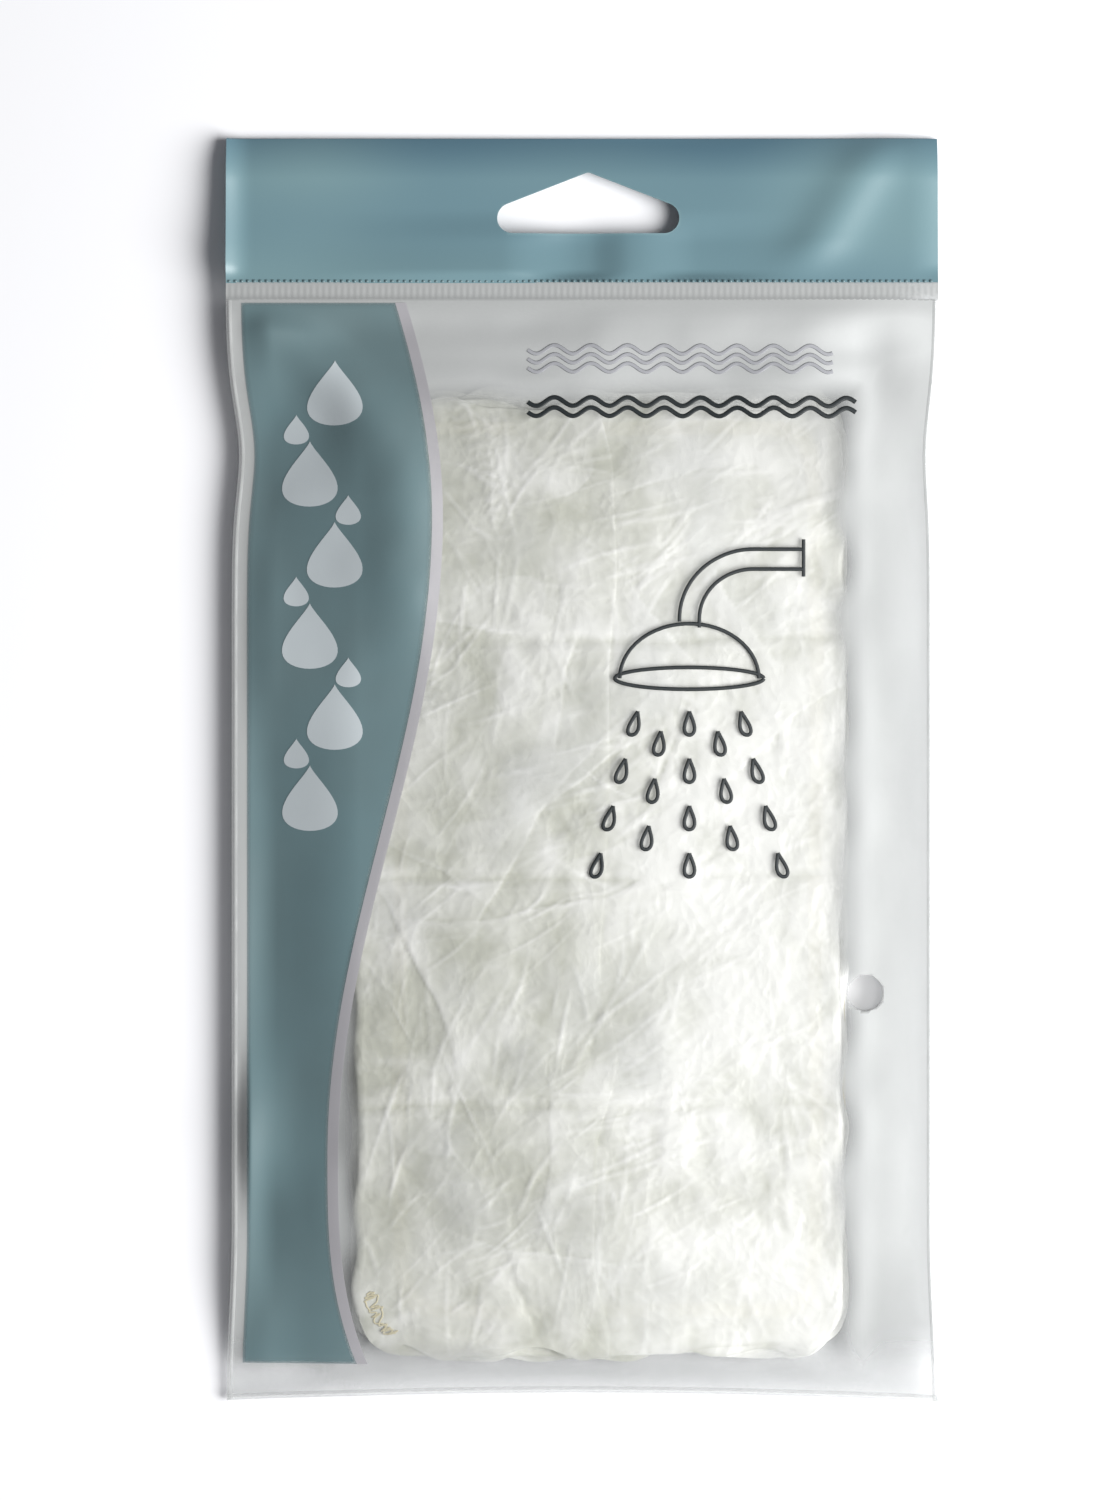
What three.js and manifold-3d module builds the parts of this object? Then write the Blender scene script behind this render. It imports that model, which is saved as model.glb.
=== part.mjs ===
// A sealed film pouch with a hang header, holding a stack of folded film shower caps.
// Millimetres. The pouch lies on its back: +X to its right, +Y towards the header, +Z up from the table.
// The origin is under the middle of the pouch, on the table.

import * as THREE from 'three';
import { mergeVertices } from 'three/addons/utils/BufferGeometryUtils.js';
import Module from 'manifold-3d';

const wasm = await Module();
wasm.setup();

// Folded caps: each is folded in from both sides, then creased across into quarters
const CAP_COUNT = 4;
const CAP_WIDTH = 92;
const CAP_LENGTH = 174;
const CAP_LEAF = 0.55;
const CAP_STEP = 2;
const WIDEST_CAP = 1;
const CAP_CORNER_RADIUS = 10;
const CAP_TRAVEL = 6;
const FLAP_GAP = 2;
const FLAP_MEETING = 5;
const CREASE_COUNT = 3;
const CREASE_PITCH = 40.8;
const CREASE_WIDTH = 5;
const CREASE_DEPTH = 0.3;

// Elastic band that lies flat between the leaves of a folded cap
const ELASTIC_WIDTH = 2;
const ELASTIC_THICKNESS = 0.4;
const ELASTIC_INSET = 4;
const ELASTIC_CORNER_RADIUS = 8;

// Pouch film and the room that it leaves around the caps
const FILM_THICKNESS = 0.25;
const LEFT_ROOM = 21;
const RIGHT_ROOM = 12;
const BOTTOM_ROOM = 6.5;
const TOP_ROOM = 12.9;
const BOTTOM_ARCH = 1.6;
const RIM_WIDTH = 1;
const RIM_HEIGHT = 4;
const CORNER_SAG = 3.2;
const CORNER_REACH = 26;
const SHOULDER = 1.5;

// The sides draw in below the seal, where the film leaves the flat and rises over the caps
const SIDE_DRAW_IN = 1;
const SIDE_EASE = 30;
const LEFT_WAIST = 1.4;
const RIGHT_WAIST = 0.8;
const WAIST_BELOW_SEAL = 25.4;
const WAIST_SPREAD = 12;

// Welds along the sides and the bottom
const SIDE_WELD_WIDTH = 0.6;
const BOTTOM_WELD_WIDTH = 1;

// Ribbed heat seal under the header
const CRIMP_HEIGHT = 3;
const CRIMP_RIB_PITCH = 1.1;
const CRIMP_RIB_HEIGHT = 0.3;

// Header with its three-cornered hang hole
const HEADER_HEIGHT = 25.6;
const HEADER_CORNER_RADIUS = 0.8;
const HANG_HOLE_WIDTH = 32;
const HANG_HOLE_HEIGHT = 10.7;
const HANG_HOLE_END_RADIUS = 2.7;
const HANG_HOLE_APEX_RADIUS = 1.2;
const HANG_HOLE_ABOVE_SEAL = 8.8;
const HANG_HOLE_OFFSET = 1.1;

// Vent punched through both films
const VENT_DIAMETER = 6.2;
const VENT_FROM_RIGHT = 12.8;
const VENT_FROM_BOTTOM = 71.8;

// Clearances
const ELASTIC_CLEARANCE = 0.25;
const CAP_CLEARANCE = 0.3;
const PLY_CLEARANCE = 0.1;
const EDGE_CLEARANCE = 0.1;
const FOLD_ABOVE_SEAL = 0.75;
const HEADER_ABOVE_FOLD = 0.1;

// Fineness of the faceted surfaces
const FILM_COLUMNS = 24;
const FILM_ROWS = 34;
const EDGE_STATIONS = 32;
const ROUND_SEGMENTS = 24;
const CORNER_SEGMENTS = 6;

// Heights, from the table up: the back film lies on the table, and its rim stands clear of it
const capThickness = 2 * CAP_LEAF + ELASTIC_THICKNESS + 2 * ELASTIC_CLEARANCE;
const capPitch = capThickness + CAP_CLEARANCE;
const stackBase = FILM_THICKNESS + CAP_CLEARANCE;
const plateau = stackBase + CAP_COUNT * capPitch;
const plyPitch = FILM_THICKNESS + PLY_CLEARANCE;
const weldHeight = FILM_THICKNESS + plyPitch;

// Outline of the pouch, from the caps and the room around them
const pouchWidth = LEFT_ROOM + CAP_WIDTH + RIGHT_ROOM;
const pouchLength = BOTTOM_ROOM + CAP_LENGTH + TOP_ROOM + CRIMP_HEIGHT + HEADER_HEIGHT;
const halfWidth = pouchWidth / 2;
const pouchBottom = -pouchLength / 2;
const pouchTop = pouchLength / 2;
const sealTop = pouchTop - HEADER_HEIGHT;
const sealBottom = sealTop - CRIMP_HEIGHT;
const filmTop = sealBottom - EDGE_CLEARANCE;

// Place of the stack. Each cap stops short of the widest one, more so the further it lies from it
const stackX = -halfWidth + LEFT_ROOM + CAP_WIDTH / 2;
const stackY = pouchBottom + BOTTOM_ROOM + CAP_LENGTH / 2;

function capInset(level) {
  return Math.abs(level - WIDEST_CAP) * CAP_STEP;
}

const ventX = halfWidth - VENT_FROM_RIGHT;
const ventY = pouchBottom + VENT_FROM_BOTTOM;

const frostedFilm = material(0xd8d9d7, 0.45);
const weldedFilm = material(0xcfd0cd, 0.4);
const tealFilm = material(0x7597a0, 0.5);
const capFilm = material(0xe9eae3, 0.55);
const elasticRubber = material(0xe6e1cf, 0.7);

function material(color, roughness) {
  return new THREE.MeshStandardMaterial({ color, roughness, metalness: 0 });
}

// Boolean helpers
function solidFrom(geometry) {
  const bare = geometry.index ? geometry.toNonIndexed() : geometry.clone();
  bare.deleteAttribute('normal');
  bare.deleteAttribute('uv');
  const merged = mergeVertices(bare, 1e-4);
  const vertProperties = new Float32Array(merged.attributes.position.array);
  const triVerts = new Uint32Array(merged.index.array);
  return new wasm.Manifold(new wasm.Mesh({ numProp: 3, vertProperties, triVerts }));
}

function geometryFrom(solid) {
  const mesh = solid.getMesh();
  const geometry = new THREE.BufferGeometry();
  geometry.setAttribute('position', new THREE.BufferAttribute(new Float32Array(mesh.vertProperties), 3));
  geometry.setIndex(new THREE.BufferAttribute(new Uint32Array(mesh.triVerts), 1));
  return geometry;
}

// Upright prism of a flat shape, from the height `base` up
function plate(shape, base, thickness) {
  const options = { depth: thickness, bevelEnabled: false, curveSegments: CORNER_SEGMENTS };
  return new THREE.ExtrudeGeometry(shape, options).translate(0, 0, base);
}

// Prism of a section drawn in X and Z, from y = start towards +Y
function run(section, start, length) {
  const options = { depth: length, bevelEnabled: false, curveSegments: CORNER_SEGMENTS };
  const geometry = new THREE.ExtrudeGeometry(section, options);
  geometry.rotateX(Math.PI / 2);
  return geometry.translate(0, start + length, 0);
}

function roundedRectangle(target, centreX, centreY, width, length, radius) {
  const x = width / 2 - radius;
  const y = length / 2 - radius;
  target.absarc(centreX + x, centreY - y, radius, -Math.PI / 2, 0, false);
  target.absarc(centreX + x, centreY + y, radius, 0, Math.PI / 2, false);
  target.absarc(centreX - x, centreY + y, radius, Math.PI / 2, Math.PI, false);
  target.absarc(centreX - x, centreY - y, radius, Math.PI, 1.5 * Math.PI, false);
  target.closePath();
  return target;
}

// Outline of the pouch's film
function ease(t) {
  return THREE.MathUtils.smoothstep(t, 0, 1);
}

function drawIn(y, waist) {
  const clearOfCorner = ease((y - pouchBottom) / SIDE_EASE);
  const clearOfSeal = ease((sealBottom - y) / SIDE_EASE);
  const fromWaist = (y - sealBottom + WAIST_BELOW_SEAL) / WAIST_SPREAD;
  return clearOfSeal * (SIDE_DRAW_IN * clearOfCorner + waist * Math.exp(-fromWaist * fromWaist));
}

function leftEdge(y) {
  return -halfWidth + drawIn(y, LEFT_WAIST);
}

function rightEdge(y) {
  return halfWidth - drawIn(y, RIGHT_WAIST);
}

function bottomEdge(x) {
  const across = Math.min(Math.abs(x) / halfWidth, 1);
  return pouchBottom + BOTTOM_ARCH * (1 - across * across);
}

const filmInset = SIDE_WELD_WIDTH + EDGE_CLEARANCE;
const filmBottomInset = BOTTOM_WELD_WIDTH + EDGE_CLEARANCE;

// Point of the film at a share `u` across, from the left, and a share `v` up from the bottom weld
function filmPoint(u, v) {
  const x = THREE.MathUtils.lerp(-halfWidth, halfWidth, u);
  const y = THREE.MathUtils.lerp(bottomEdge(x) + filmBottomInset, filmTop, v);
  return new THREE.Vector2(THREE.MathUtils.lerp(leftEdge(y) + filmInset, rightEdge(y) - filmInset, u), y);
}

// How far the film has left its rim: 0 on the flat rim, 1 just outside the cap at the given level,
// with room for that cap to slide towards the seal
function swell(x, y, level) {
  const halfCapWidth = CAP_WIDTH / 2 - capInset(level) + SHOULDER;
  const halfCapLength = CAP_LENGTH / 2 - capInset(level) + SHOULDER;
  const leftFoot = leftEdge(y) + filmInset + RIM_WIDTH;
  const rightFoot = rightEdge(y) - filmInset - RIM_WIDTH;
  const bottomFoot = bottomEdge(x) + filmBottomInset + RIM_WIDTH;
  const topFoot = filmTop - RIM_WIDTH;
  const left = ease((x - leftFoot) / (stackX - halfCapWidth - leftFoot));
  const right = ease((rightFoot - x) / (rightFoot - stackX - halfCapWidth));
  const bottom = ease((y - bottomFoot) / (stackY - halfCapLength - bottomFoot));
  const top = ease((topFoot - y) / (topFoot - stackY - halfCapLength - CAP_TRAVEL));
  return left * right * bottom * top;
}

// The rim stands off the table beside the caps and sags towards it at the two bottom corners
function rimHeight(x, y) {
  const fromCorner = Math.hypot(halfWidth - Math.abs(x), y - pouchBottom);
  return RIM_HEIGHT - CORNER_SAG * ease(1 - fromCorner / CORNER_REACH);
}

function frontUnderside(x, y) {
  return THREE.MathUtils.lerp(rimHeight(x, y) + plyPitch, plateau, swell(x, y, CAP_COUNT - 1));
}

function backUnderside(x, y) {
  return THREE.MathUtils.lerp(rimHeight(x, y), 0, swell(x, y, 0));
}

// Shares from 0 to 1 that crowd towards both ends, where the film bends most
function crowded(step, count) {
  return (1 - Math.cos(Math.PI * step / count)) / 2;
}

// A closed sheet over a grid of points, which run across and then up, of one thickness above its underside
function sheet(columns, rows, pointAt, underside, thickness) {
  const across = columns + 1;
  const layer = across * (rows + 1);
  const positions = [];
  for (const lift of [0, thickness]) {
    for (let row = 0; row <= rows; row++) {
      for (let column = 0; column <= columns; column++) {
        const point = pointAt(column, row);
        positions.push(point.x, point.y, underside(point.x, point.y) + lift);
      }
    }
  }
  const index = [];
  const quad = (a, b, c, d) => index.push(a, b, c, a, c, d);
  for (let row = 0; row < rows; row++) {
    for (let column = 0; column < columns; column++) {
      const a = row * across + column;
      quad(a, a + across, a + across + 1, a + 1);
      quad(a + layer, a + layer + 1, a + layer + across + 1, a + layer + across);
    }
  }
  for (let column = 0; column < columns; column++) {
    const low = column;
    const high = rows * across + column;
    quad(low, low + 1, low + 1 + layer, low + layer);
    quad(high + 1, high, high + layer, high + 1 + layer);
  }
  for (let row = 0; row < rows; row++) {
    const left = row * across;
    const right = left + columns;
    quad(left + across, left, left + layer, left + across + layer);
    quad(right, right + across, right + across + layer, right + layer);
  }
  const geometry = new THREE.BufferGeometry();
  geometry.setAttribute('position', new THREE.Float32BufferAttribute(positions, 3));
  geometry.setIndex(index);
  return geometry;
}

// Both films are punched at once, so the punch reaches from below the table to above the front film
function ventPunch() {
  const reach = 2 * (plateau + FILM_THICKNESS + CAP_CLEARANCE);
  const punch = new THREE.CylinderGeometry(VENT_DIAMETER / 2, VENT_DIAMETER / 2, reach, ROUND_SEGMENTS);
  return punch.rotateX(Math.PI / 2).translate(ventX, ventY, 0);
}

function pouchFilm(underside) {
  const pointAt = (column, row) => filmPoint(crowded(column, FILM_COLUMNS), crowded(row, FILM_ROWS));
  const film = sheet(FILM_COLUMNS, FILM_ROWS, pointAt, underside, FILM_THICKNESS);
  return geometryFrom(solidFrom(film).subtract(solidFrom(ventPunch())));
}

// Bead along one side, between the pouch's edge and the films, from its left wall to its right wall
function sideWeld(leftWall, rightWall) {
  const pointAt = (column, row) => {
    const y = THREE.MathUtils.lerp(pouchBottom, filmTop, row / EDGE_STATIONS);
    return new THREE.Vector2(column === 0 ? leftWall(y) : rightWall(y), y);
  };
  return sheet(1, EDGE_STATIONS, pointAt, rimHeight, weldHeight);
}

function leftWeld() {
  return sideWeld(leftEdge, (y) => leftEdge(y) + SIDE_WELD_WIDTH);
}

function rightWeld() {
  return sideWeld((y) => rightEdge(y) - SIDE_WELD_WIDTH, rightEdge);
}

function bottomWeld() {
  const corner = halfWidth - filmInset;
  const pointAt = (column, row) => {
    const x = THREE.MathUtils.lerp(-corner, corner, column / EDGE_STATIONS);
    return new THREE.Vector2(x, bottomEdge(x) + row * BOTTOM_WELD_WIDTH);
  };
  return sheet(EDGE_STATIONS, 1, pointAt, rimHeight, weldHeight);
}

// The seal's jaw leaves a row of ribs that run up the pouch
function crimpSeal() {
  const ribs = Math.round(pouchWidth / CRIMP_RIB_PITCH);
  const pitch = pouchWidth / ribs;
  const section = new THREE.Shape();
  section.moveTo(-halfWidth, 0);
  section.lineTo(halfWidth, 0);
  for (let rib = ribs; rib >= 1; rib--) {
    const right = -halfWidth + rib * pitch;
    section.lineTo(right, weldHeight);
    section.lineTo(right - pitch / 2, weldHeight + CRIMP_RIB_HEIGHT);
  }
  section.lineTo(-halfWidth, weldHeight);
  section.closePath();
  return run(section, sealBottom, CRIMP_HEIGHT).translate(0, 0, RIM_HEIGHT);
}

// Hang hole: two round lower ends joined to a small round apex by straight sides
function hangHole() {
  const floor = sealTop + HANG_HOLE_ABOVE_SEAL;
  const endX = HANG_HOLE_WIDTH / 2 - HANG_HOLE_END_RADIUS;
  const endY = floor + HANG_HOLE_END_RADIUS;
  const apexY = floor + HANG_HOLE_HEIGHT - HANG_HOLE_APEX_RADIUS;
  const span = Math.hypot(endX, endY - apexY);
  const slope = Math.atan2(endY - apexY, endX);
  const tangent = slope + Math.acos((HANG_HOLE_APEX_RADIUS - HANG_HOLE_END_RADIUS) / span);
  const middle = HANG_HOLE_OFFSET;
  const hole = new THREE.Path();
  hole.absarc(middle + endX, endY, HANG_HOLE_END_RADIUS, tangent, -Math.PI / 2, true);
  hole.absarc(middle - endX, endY, HANG_HOLE_END_RADIUS, -Math.PI / 2, -Math.PI - tangent, true);
  hole.absarc(middle, apexY, HANG_HOLE_APEX_RADIUS, Math.PI - tangent, tangent, true);
  hole.closePath();
  return hole;
}

function headerPly(base) {
  const low = sealTop + FOLD_ABOVE_SEAL + HEADER_ABOVE_FOLD;
  const corner = HEADER_CORNER_RADIUS;
  const shape = new THREE.Shape();
  shape.moveTo(-halfWidth, low);
  shape.lineTo(halfWidth, low);
  shape.absarc(halfWidth - corner, pouchTop - corner, corner, 0, Math.PI / 2, false);
  shape.absarc(-halfWidth + corner, pouchTop - corner, corner, Math.PI / 2, Math.PI, false);
  shape.closePath();
  shape.holes.push(hangHole());
  return plate(shape, base, FILM_THICKNESS);
}

// Section of a folded cap: one leaf below, and a flap folded over it from each side
function foldedSection(width) {
  const fold = capThickness / 2;
  const slot = fold - CAP_LEAF;
  const foldX = width / 2 - fold;
  const section = new THREE.Shape();
  section.moveTo(-foldX, 0);
  section.lineTo(foldX, 0);
  section.absarc(foldX, fold, fold, -Math.PI / 2, Math.PI / 2, false);
  section.lineTo(FLAP_MEETING + FLAP_GAP / 2, capThickness);
  section.lineTo(FLAP_MEETING + FLAP_GAP / 2, capThickness - CAP_LEAF);
  section.absarc(foldX, fold, slot, Math.PI / 2, -Math.PI / 2, true);
  section.absarc(-foldX, fold, slot, -Math.PI / 2, -1.5 * Math.PI, true);
  section.lineTo(FLAP_MEETING - FLAP_GAP / 2, capThickness - CAP_LEAF);
  section.lineTo(FLAP_MEETING - FLAP_GAP / 2, capThickness);
  section.absarc(-foldX, fold, fold, Math.PI / 2, 1.5 * Math.PI, false);
  section.closePath();
  return section;
}

function creaseCut(width, y) {
  const section = new THREE.Shape();
  section.moveTo(-CREASE_WIDTH, capThickness + CREASE_DEPTH);
  section.lineTo(0, capThickness - CREASE_DEPTH);
  section.lineTo(CREASE_WIDTH, capThickness + CREASE_DEPTH);
  section.closePath();
  return run(section, 0, width).rotateZ(Math.PI / 2).translate(width / 2, y, 0);
}

function capFilmBody(level) {
  const width = CAP_WIDTH - 2 * capInset(level);
  const length = CAP_LENGTH - 2 * capInset(level);
  const plan = roundedRectangle(new THREE.Shape(), 0, 0, width, length, CAP_CORNER_RADIUS);
  let body = solidFrom(run(foldedSection(width), -length / 2, length));
  body = body.intersect(solidFrom(plate(plan, -CAP_CLEARANCE, capThickness + 2 * CAP_CLEARANCE)));
  for (let crease = 0; crease < CREASE_COUNT; crease++) {
    const y = (crease - (CREASE_COUNT - 1) / 2) * CREASE_PITCH;
    body = body.subtract(solidFrom(creaseCut(width, y)));
  }
  return geometryFrom(body);
}

function capElastic(level) {
  const inset = 2 * (capInset(level) + ELASTIC_INSET);
  const width = CAP_WIDTH - inset;
  const length = CAP_LENGTH - inset;
  const radius = ELASTIC_CORNER_RADIUS;
  const band = 2 * ELASTIC_WIDTH;
  const ring = roundedRectangle(new THREE.Shape(), 0, 0, width, length, radius);
  const innerRadius = radius - ELASTIC_WIDTH;
  ring.holes.push(roundedRectangle(new THREE.Path(), 0, 0, width - band, length - band, innerRadius));
  return plate(ring, CAP_LEAF + ELASTIC_CLEARANCE, ELASTIC_THICKNESS);
}

const pack = new THREE.Group();

function addPiece(parent, name, geometry, finish) {
  const mesh = new THREE.Mesh(geometry, finish);
  mesh.name = name;
  parent.add(mesh);
}

addPiece(pack, 'back_film', pouchFilm(backUnderside), frostedFilm);
addPiece(pack, 'front_film', pouchFilm(frontUnderside), frostedFilm);
addPiece(pack, 'left_side_weld', leftWeld(), weldedFilm);
addPiece(pack, 'right_side_weld', rightWeld(), weldedFilm);
addPiece(pack, 'bottom_weld', bottomWeld(), weldedFilm);
addPiece(pack, 'header_crimp_seal', crimpSeal(), weldedFilm);
addPiece(pack, 'header_back_ply', headerPly(RIM_HEIGHT), tealFilm);
addPiece(pack, 'header_front_ply', headerPly(RIM_HEIGHT + plyPitch), tealFilm);

for (let level = 0; level < CAP_COUNT; level++) {
  const cap = new THREE.Group();
  cap.position.set(stackX, stackY, stackBase + level * capPitch);
  addPiece(cap, `cap_${level + 1}_film`, capFilmBody(level), capFilm);
  addPiece(cap, `cap_${level + 1}_elastic`, capElastic(level), elasticRubber);
  pack.add(cap);
}

export default pack;
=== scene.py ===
import math

import bpy
import numpy as np
from bpy.props import FloatProperty, FloatVectorProperty, PointerProperty
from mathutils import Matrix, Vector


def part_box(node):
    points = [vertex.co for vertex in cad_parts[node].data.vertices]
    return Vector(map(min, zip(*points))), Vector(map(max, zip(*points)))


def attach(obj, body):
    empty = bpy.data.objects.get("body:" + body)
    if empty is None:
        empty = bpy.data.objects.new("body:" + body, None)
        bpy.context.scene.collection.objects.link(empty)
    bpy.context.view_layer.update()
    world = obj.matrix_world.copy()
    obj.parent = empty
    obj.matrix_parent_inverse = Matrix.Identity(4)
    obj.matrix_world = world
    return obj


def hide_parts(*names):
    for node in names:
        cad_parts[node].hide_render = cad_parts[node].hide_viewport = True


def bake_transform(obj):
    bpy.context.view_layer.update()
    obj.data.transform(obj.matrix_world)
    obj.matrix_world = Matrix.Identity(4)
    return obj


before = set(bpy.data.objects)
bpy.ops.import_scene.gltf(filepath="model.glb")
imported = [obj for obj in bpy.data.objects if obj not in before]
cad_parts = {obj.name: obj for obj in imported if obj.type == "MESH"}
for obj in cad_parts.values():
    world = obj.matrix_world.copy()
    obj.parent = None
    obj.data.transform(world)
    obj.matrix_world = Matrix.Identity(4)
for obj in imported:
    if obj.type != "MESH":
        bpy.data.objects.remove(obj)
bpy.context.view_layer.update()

bl_info = {
    "name": "Pouch of folded shower caps",
    "version": (1, 0, 0),
    "blender": (4, 5, 0),
    "location": "3D View > Sidebar > Pouch",
    "description": "Dresses the pouch with frosted film, a printed header, a crimped seal and crumpled caps",
    "category": "Object",
}

MM = 0.001

CAPS = ["cap_1", "cap_2", "cap_3", "cap_4"]
TOP_CAP = CAPS[-1]


def corners(name):
    """The lowest and the highest corner of a node's box, in metres."""
    return [np.array(corner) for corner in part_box(name)]


# Places that the frame gives, in metres
HEADER_HIGH = corners("header_front_ply")[1]
HEADER_BACK_LOW = corners("header_back_ply")[0]
CRIMP_LOW, CRIMP_HIGH = corners("header_crimp_seal")
FILM_HIGH = corners("front_film")[1]
BACK_LOW = corners("back_film")[0]
POUCH_BOTTOM = corners("bottom_weld")[0][1]
HALF_WIDTH = HEADER_HIGH[0]
RIM_BASE = CRIMP_LOW[2]
RIM_TOP = HEADER_HIGH[2]

# Sizes and limits that no user would change
ROOM_UNDER_CAP = 0.65 * MM
TAPER_PAST_END = 6 * MM
PEG_LENGTH = 40 * MM
MERGE_DISTANCE = 1e-6
SMOOTH_ANGLE = math.radians(50)

# Numbers that mix the places of a lattice into repeatable values
MIX_COLUMN, MIX_ROW, MIX_SEED, MIX_AGAIN = 374761393, 668265263, 974634777, 1274126177
LOW_32_BITS = 0xFFFFFFFF
LOW_16_BITS = 0xFFFF


def linear(hex_colour):
    """The linear colour of an sRGB hex value."""
    shares = [int(hex_colour[i:i + 2], 16) / 255 for i in (1, 3, 5)]
    return tuple(c / 12.92 if c <= 0.04045 else ((c + 0.055) / 1.055) ** 2.4 for c in shares)


def length(name, description, millimetres):
    """A size that a user can change, given in millimetres and kept in metres."""
    return FloatProperty(
        name=name, description=description, default=millimetres * MM, unit="LENGTH", precision=5
    )


def colour(name, description, hex_colour):
    """A colour that a user can change, given as sRGB hex."""
    return FloatVectorProperty(
        name=name, description=description, default=linear(hex_colour), subtype="COLOR", min=0, max=1
    )


class PouchSizes(bpy.types.PropertyGroup):
    """Sizes of the pouch's outline, film and prints"""

    film_thickness: length("Film", "Thickness that the pouch's film is drawn with", 0.1)
    side_draw_in: length("Side draw-in", "How far the full pouch draws its sides in", 1.0)
    side_ease: length("Side ease", "Length over which the sides run back out to the corners", 30)
    left_waist: length("Left waist", "Depth of the nip in the left side below the seal", 1.4)
    right_waist: length("Right waist", "Depth of the nip in the right side below the seal", 0.8)
    waist_below_seal: length("Waist place", "Distance of the nips below the seal", 25.4)
    waist_spread: length("Waist spread", "Length that the nips fade over", 12)
    bottom_arch: length("Bottom arch", "How far the bottom edge arches up in its middle", 1.6)
    rim_width: length("Rim", "Width of the flat rim inside the welds", 1.0)
    shoulder: length("Shoulder", "Room between the film and the edge of the top cap", 1.5)
    corner_sag: length("Corner sag", "How far the rim sags at the two bottom corners", 2.4)
    side_sag: length("Side sag", "How far the rim sags below the seal's height along the left side", 0.7)
    corner_reach: length("Corner reach", "Distance from a bottom corner at which the rim stops sagging", 26)
    cap_travel: length("Cap travel", "Room above the caps for them to slide", 6)
    film_lift: length("Film lift", "Height of the soft film above the flat one", 0.2)
    weld_width: length("Weld", "Width of the side and bottom welds", 1.0)
    vent_diameter: length("Vent", "Diameter of the vent hole", 6.2)
    vent_from_right: length("Vent from right", "Distance of the vent from the right side", 12.8)
    vent_from_bottom: length("Vent from bottom", "Distance of the vent from the bottom", 71.8)
    rib_pitch: length("Rib pitch", "Distance between ribs of the crimped seal", 1.1)
    rib_height: length("Rib height", "Height of the ribs of the crimped seal", 0.035)
    hole_end_radius: length("Hole ends", "Radius of the hang hole's ends", 2.7)
    hole_apex_radius: length("Hole apex", "Radius of the hang hole's apex", 1.2)
    hole_width: length("Hole width", "Width of the hang hole", 32)
    hole_height: length("Hole height", "Height of the hang hole", 10.7)
    hole_offset: length("Hole offset", "Distance of the hang hole right of the middle", 1.1)
    hole_above_seal: length("Hole place", "Distance of the hang hole above the seal", 8.8)
    panel_margin: length("Panel margin", "Bare film left of the printed panel", 2.7)
    panel_border: length("Panel border", "Width of the silver border of the printed panel", 1.9)
    cap_corner: length("Cap corner", "Corner radius of a folded cap", 10)
    crumple_depth: length("Crumple depth", "Height of the largest crumpled facets of the caps", 0.68)
    crown: length("Crown", "How far the stack of caps falls from its crest to its sides", 2.6)
    crown_shift: length("Crown shift", "Distance of the stack's crest left of its middle", 10)
    taper: length("Taper", "How far the stack of caps falls towards its two ends", 2.6)
    taper_reach: length("Taper reach", "Length over which the stack falls towards an end", 24)


class PouchColours(bpy.types.PropertyGroup):
    """Colours of the films, inks and elastic"""

    film: colour("Frosted film", "Milky polyethylene", "#C8CAC9")
    back: colour("Back film", "Milky polyethylene of the back", "#CCCECD")
    weld: colour("Welded film", "Film melted together along the sides and the bottom", "#CDCFCE")
    seal: colour("Sealed film", "Film pressed between ribbed jaws", "#B4B6B5")
    teal: colour("Teal ink", "Ink of the header", "#76949A")
    # The darker teal mixes in as random patches and as painted shade towards the header's free edge.
    teal_patches_and_shade: colour("Deep teal ink", "Darker patches of the header's ink", "#587887")
    panel: colour("Panel ink", "Teal ink of the side panel", "#77959B")
    panel_deep: colour("Deep panel ink", "Darker patches of the side panel's ink", "#687A7C")
    silver: colour("Silver ink", "Ink of the panel's border", "#B7B5B9")
    faint: colour("Faint ink", "Pale ink of the upper waves", "#B9BABF")
    white: colour("White ink", "Ink of the drops on the panel", "#C6CED1")
    dark: colour("Dark ink", "Ink of the line design", "#23292B")
    # The caps mix between these two tones: the hollow tone is painted shade in hollows and towards the left,
    # the light one painted light on ridges, raised film and the right side, as well as the whiter film of
    # creases and double layers.
    cap: colour("Cap film", "Thin film of the caps where creases gather", "#F8F8F4")
    cap_hollow_shade: colour("Cap film hollows", "Thin film of the caps between creases", "#CFD0C3")
    elastic: colour("Elastic", "Cream elastic of the hems", "#E6DDBB")
    floor: colour("Floor", "Plain pale floor", "#FAFAFC")


def sizes():
    """The sizes that the sidebar keeps."""
    return bpy.context.scene.pouch_sizes


def colours():
    """The colours that the sidebar keeps."""
    return bpy.context.scene.pouch_colours


# Noise and folds, worked out on arrays of points


def ease(share):
    """A smooth step from 0 to 1."""
    share = np.clip(share, 0, 1)
    return share * share * (3 - 2 * share)


def past(distance, run):
    """The smooth step of a distance over a run in millimetres."""
    return ease(distance / (run * MM))


def mound(x, y, middle, reach):
    """A soft mound of height 1 with its middle and its reach each way in millimetres."""
    off_x = (x - middle[0] * MM) / (reach[0] * MM)
    off_y = (y - middle[1] * MM) / (reach[1] * MM)
    return np.exp(-off_x ** 2 - off_y ** 2)


def turned(x, y, middle, turn):
    """How far points lie from a middle along a turned line, and across it."""
    off_x = x - middle[0]
    off_y = y - middle[1]
    along = off_x * math.cos(turn) + off_y * math.sin(turn)
    return along, off_y * math.cos(turn) - off_x * math.sin(turn)


def drop_width(turn):
    """Width of a water drop round its outline: a point at the turn 0 and a round foot."""
    return np.sin(turn) * np.sin(turn / 2) ** 1.6


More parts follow.
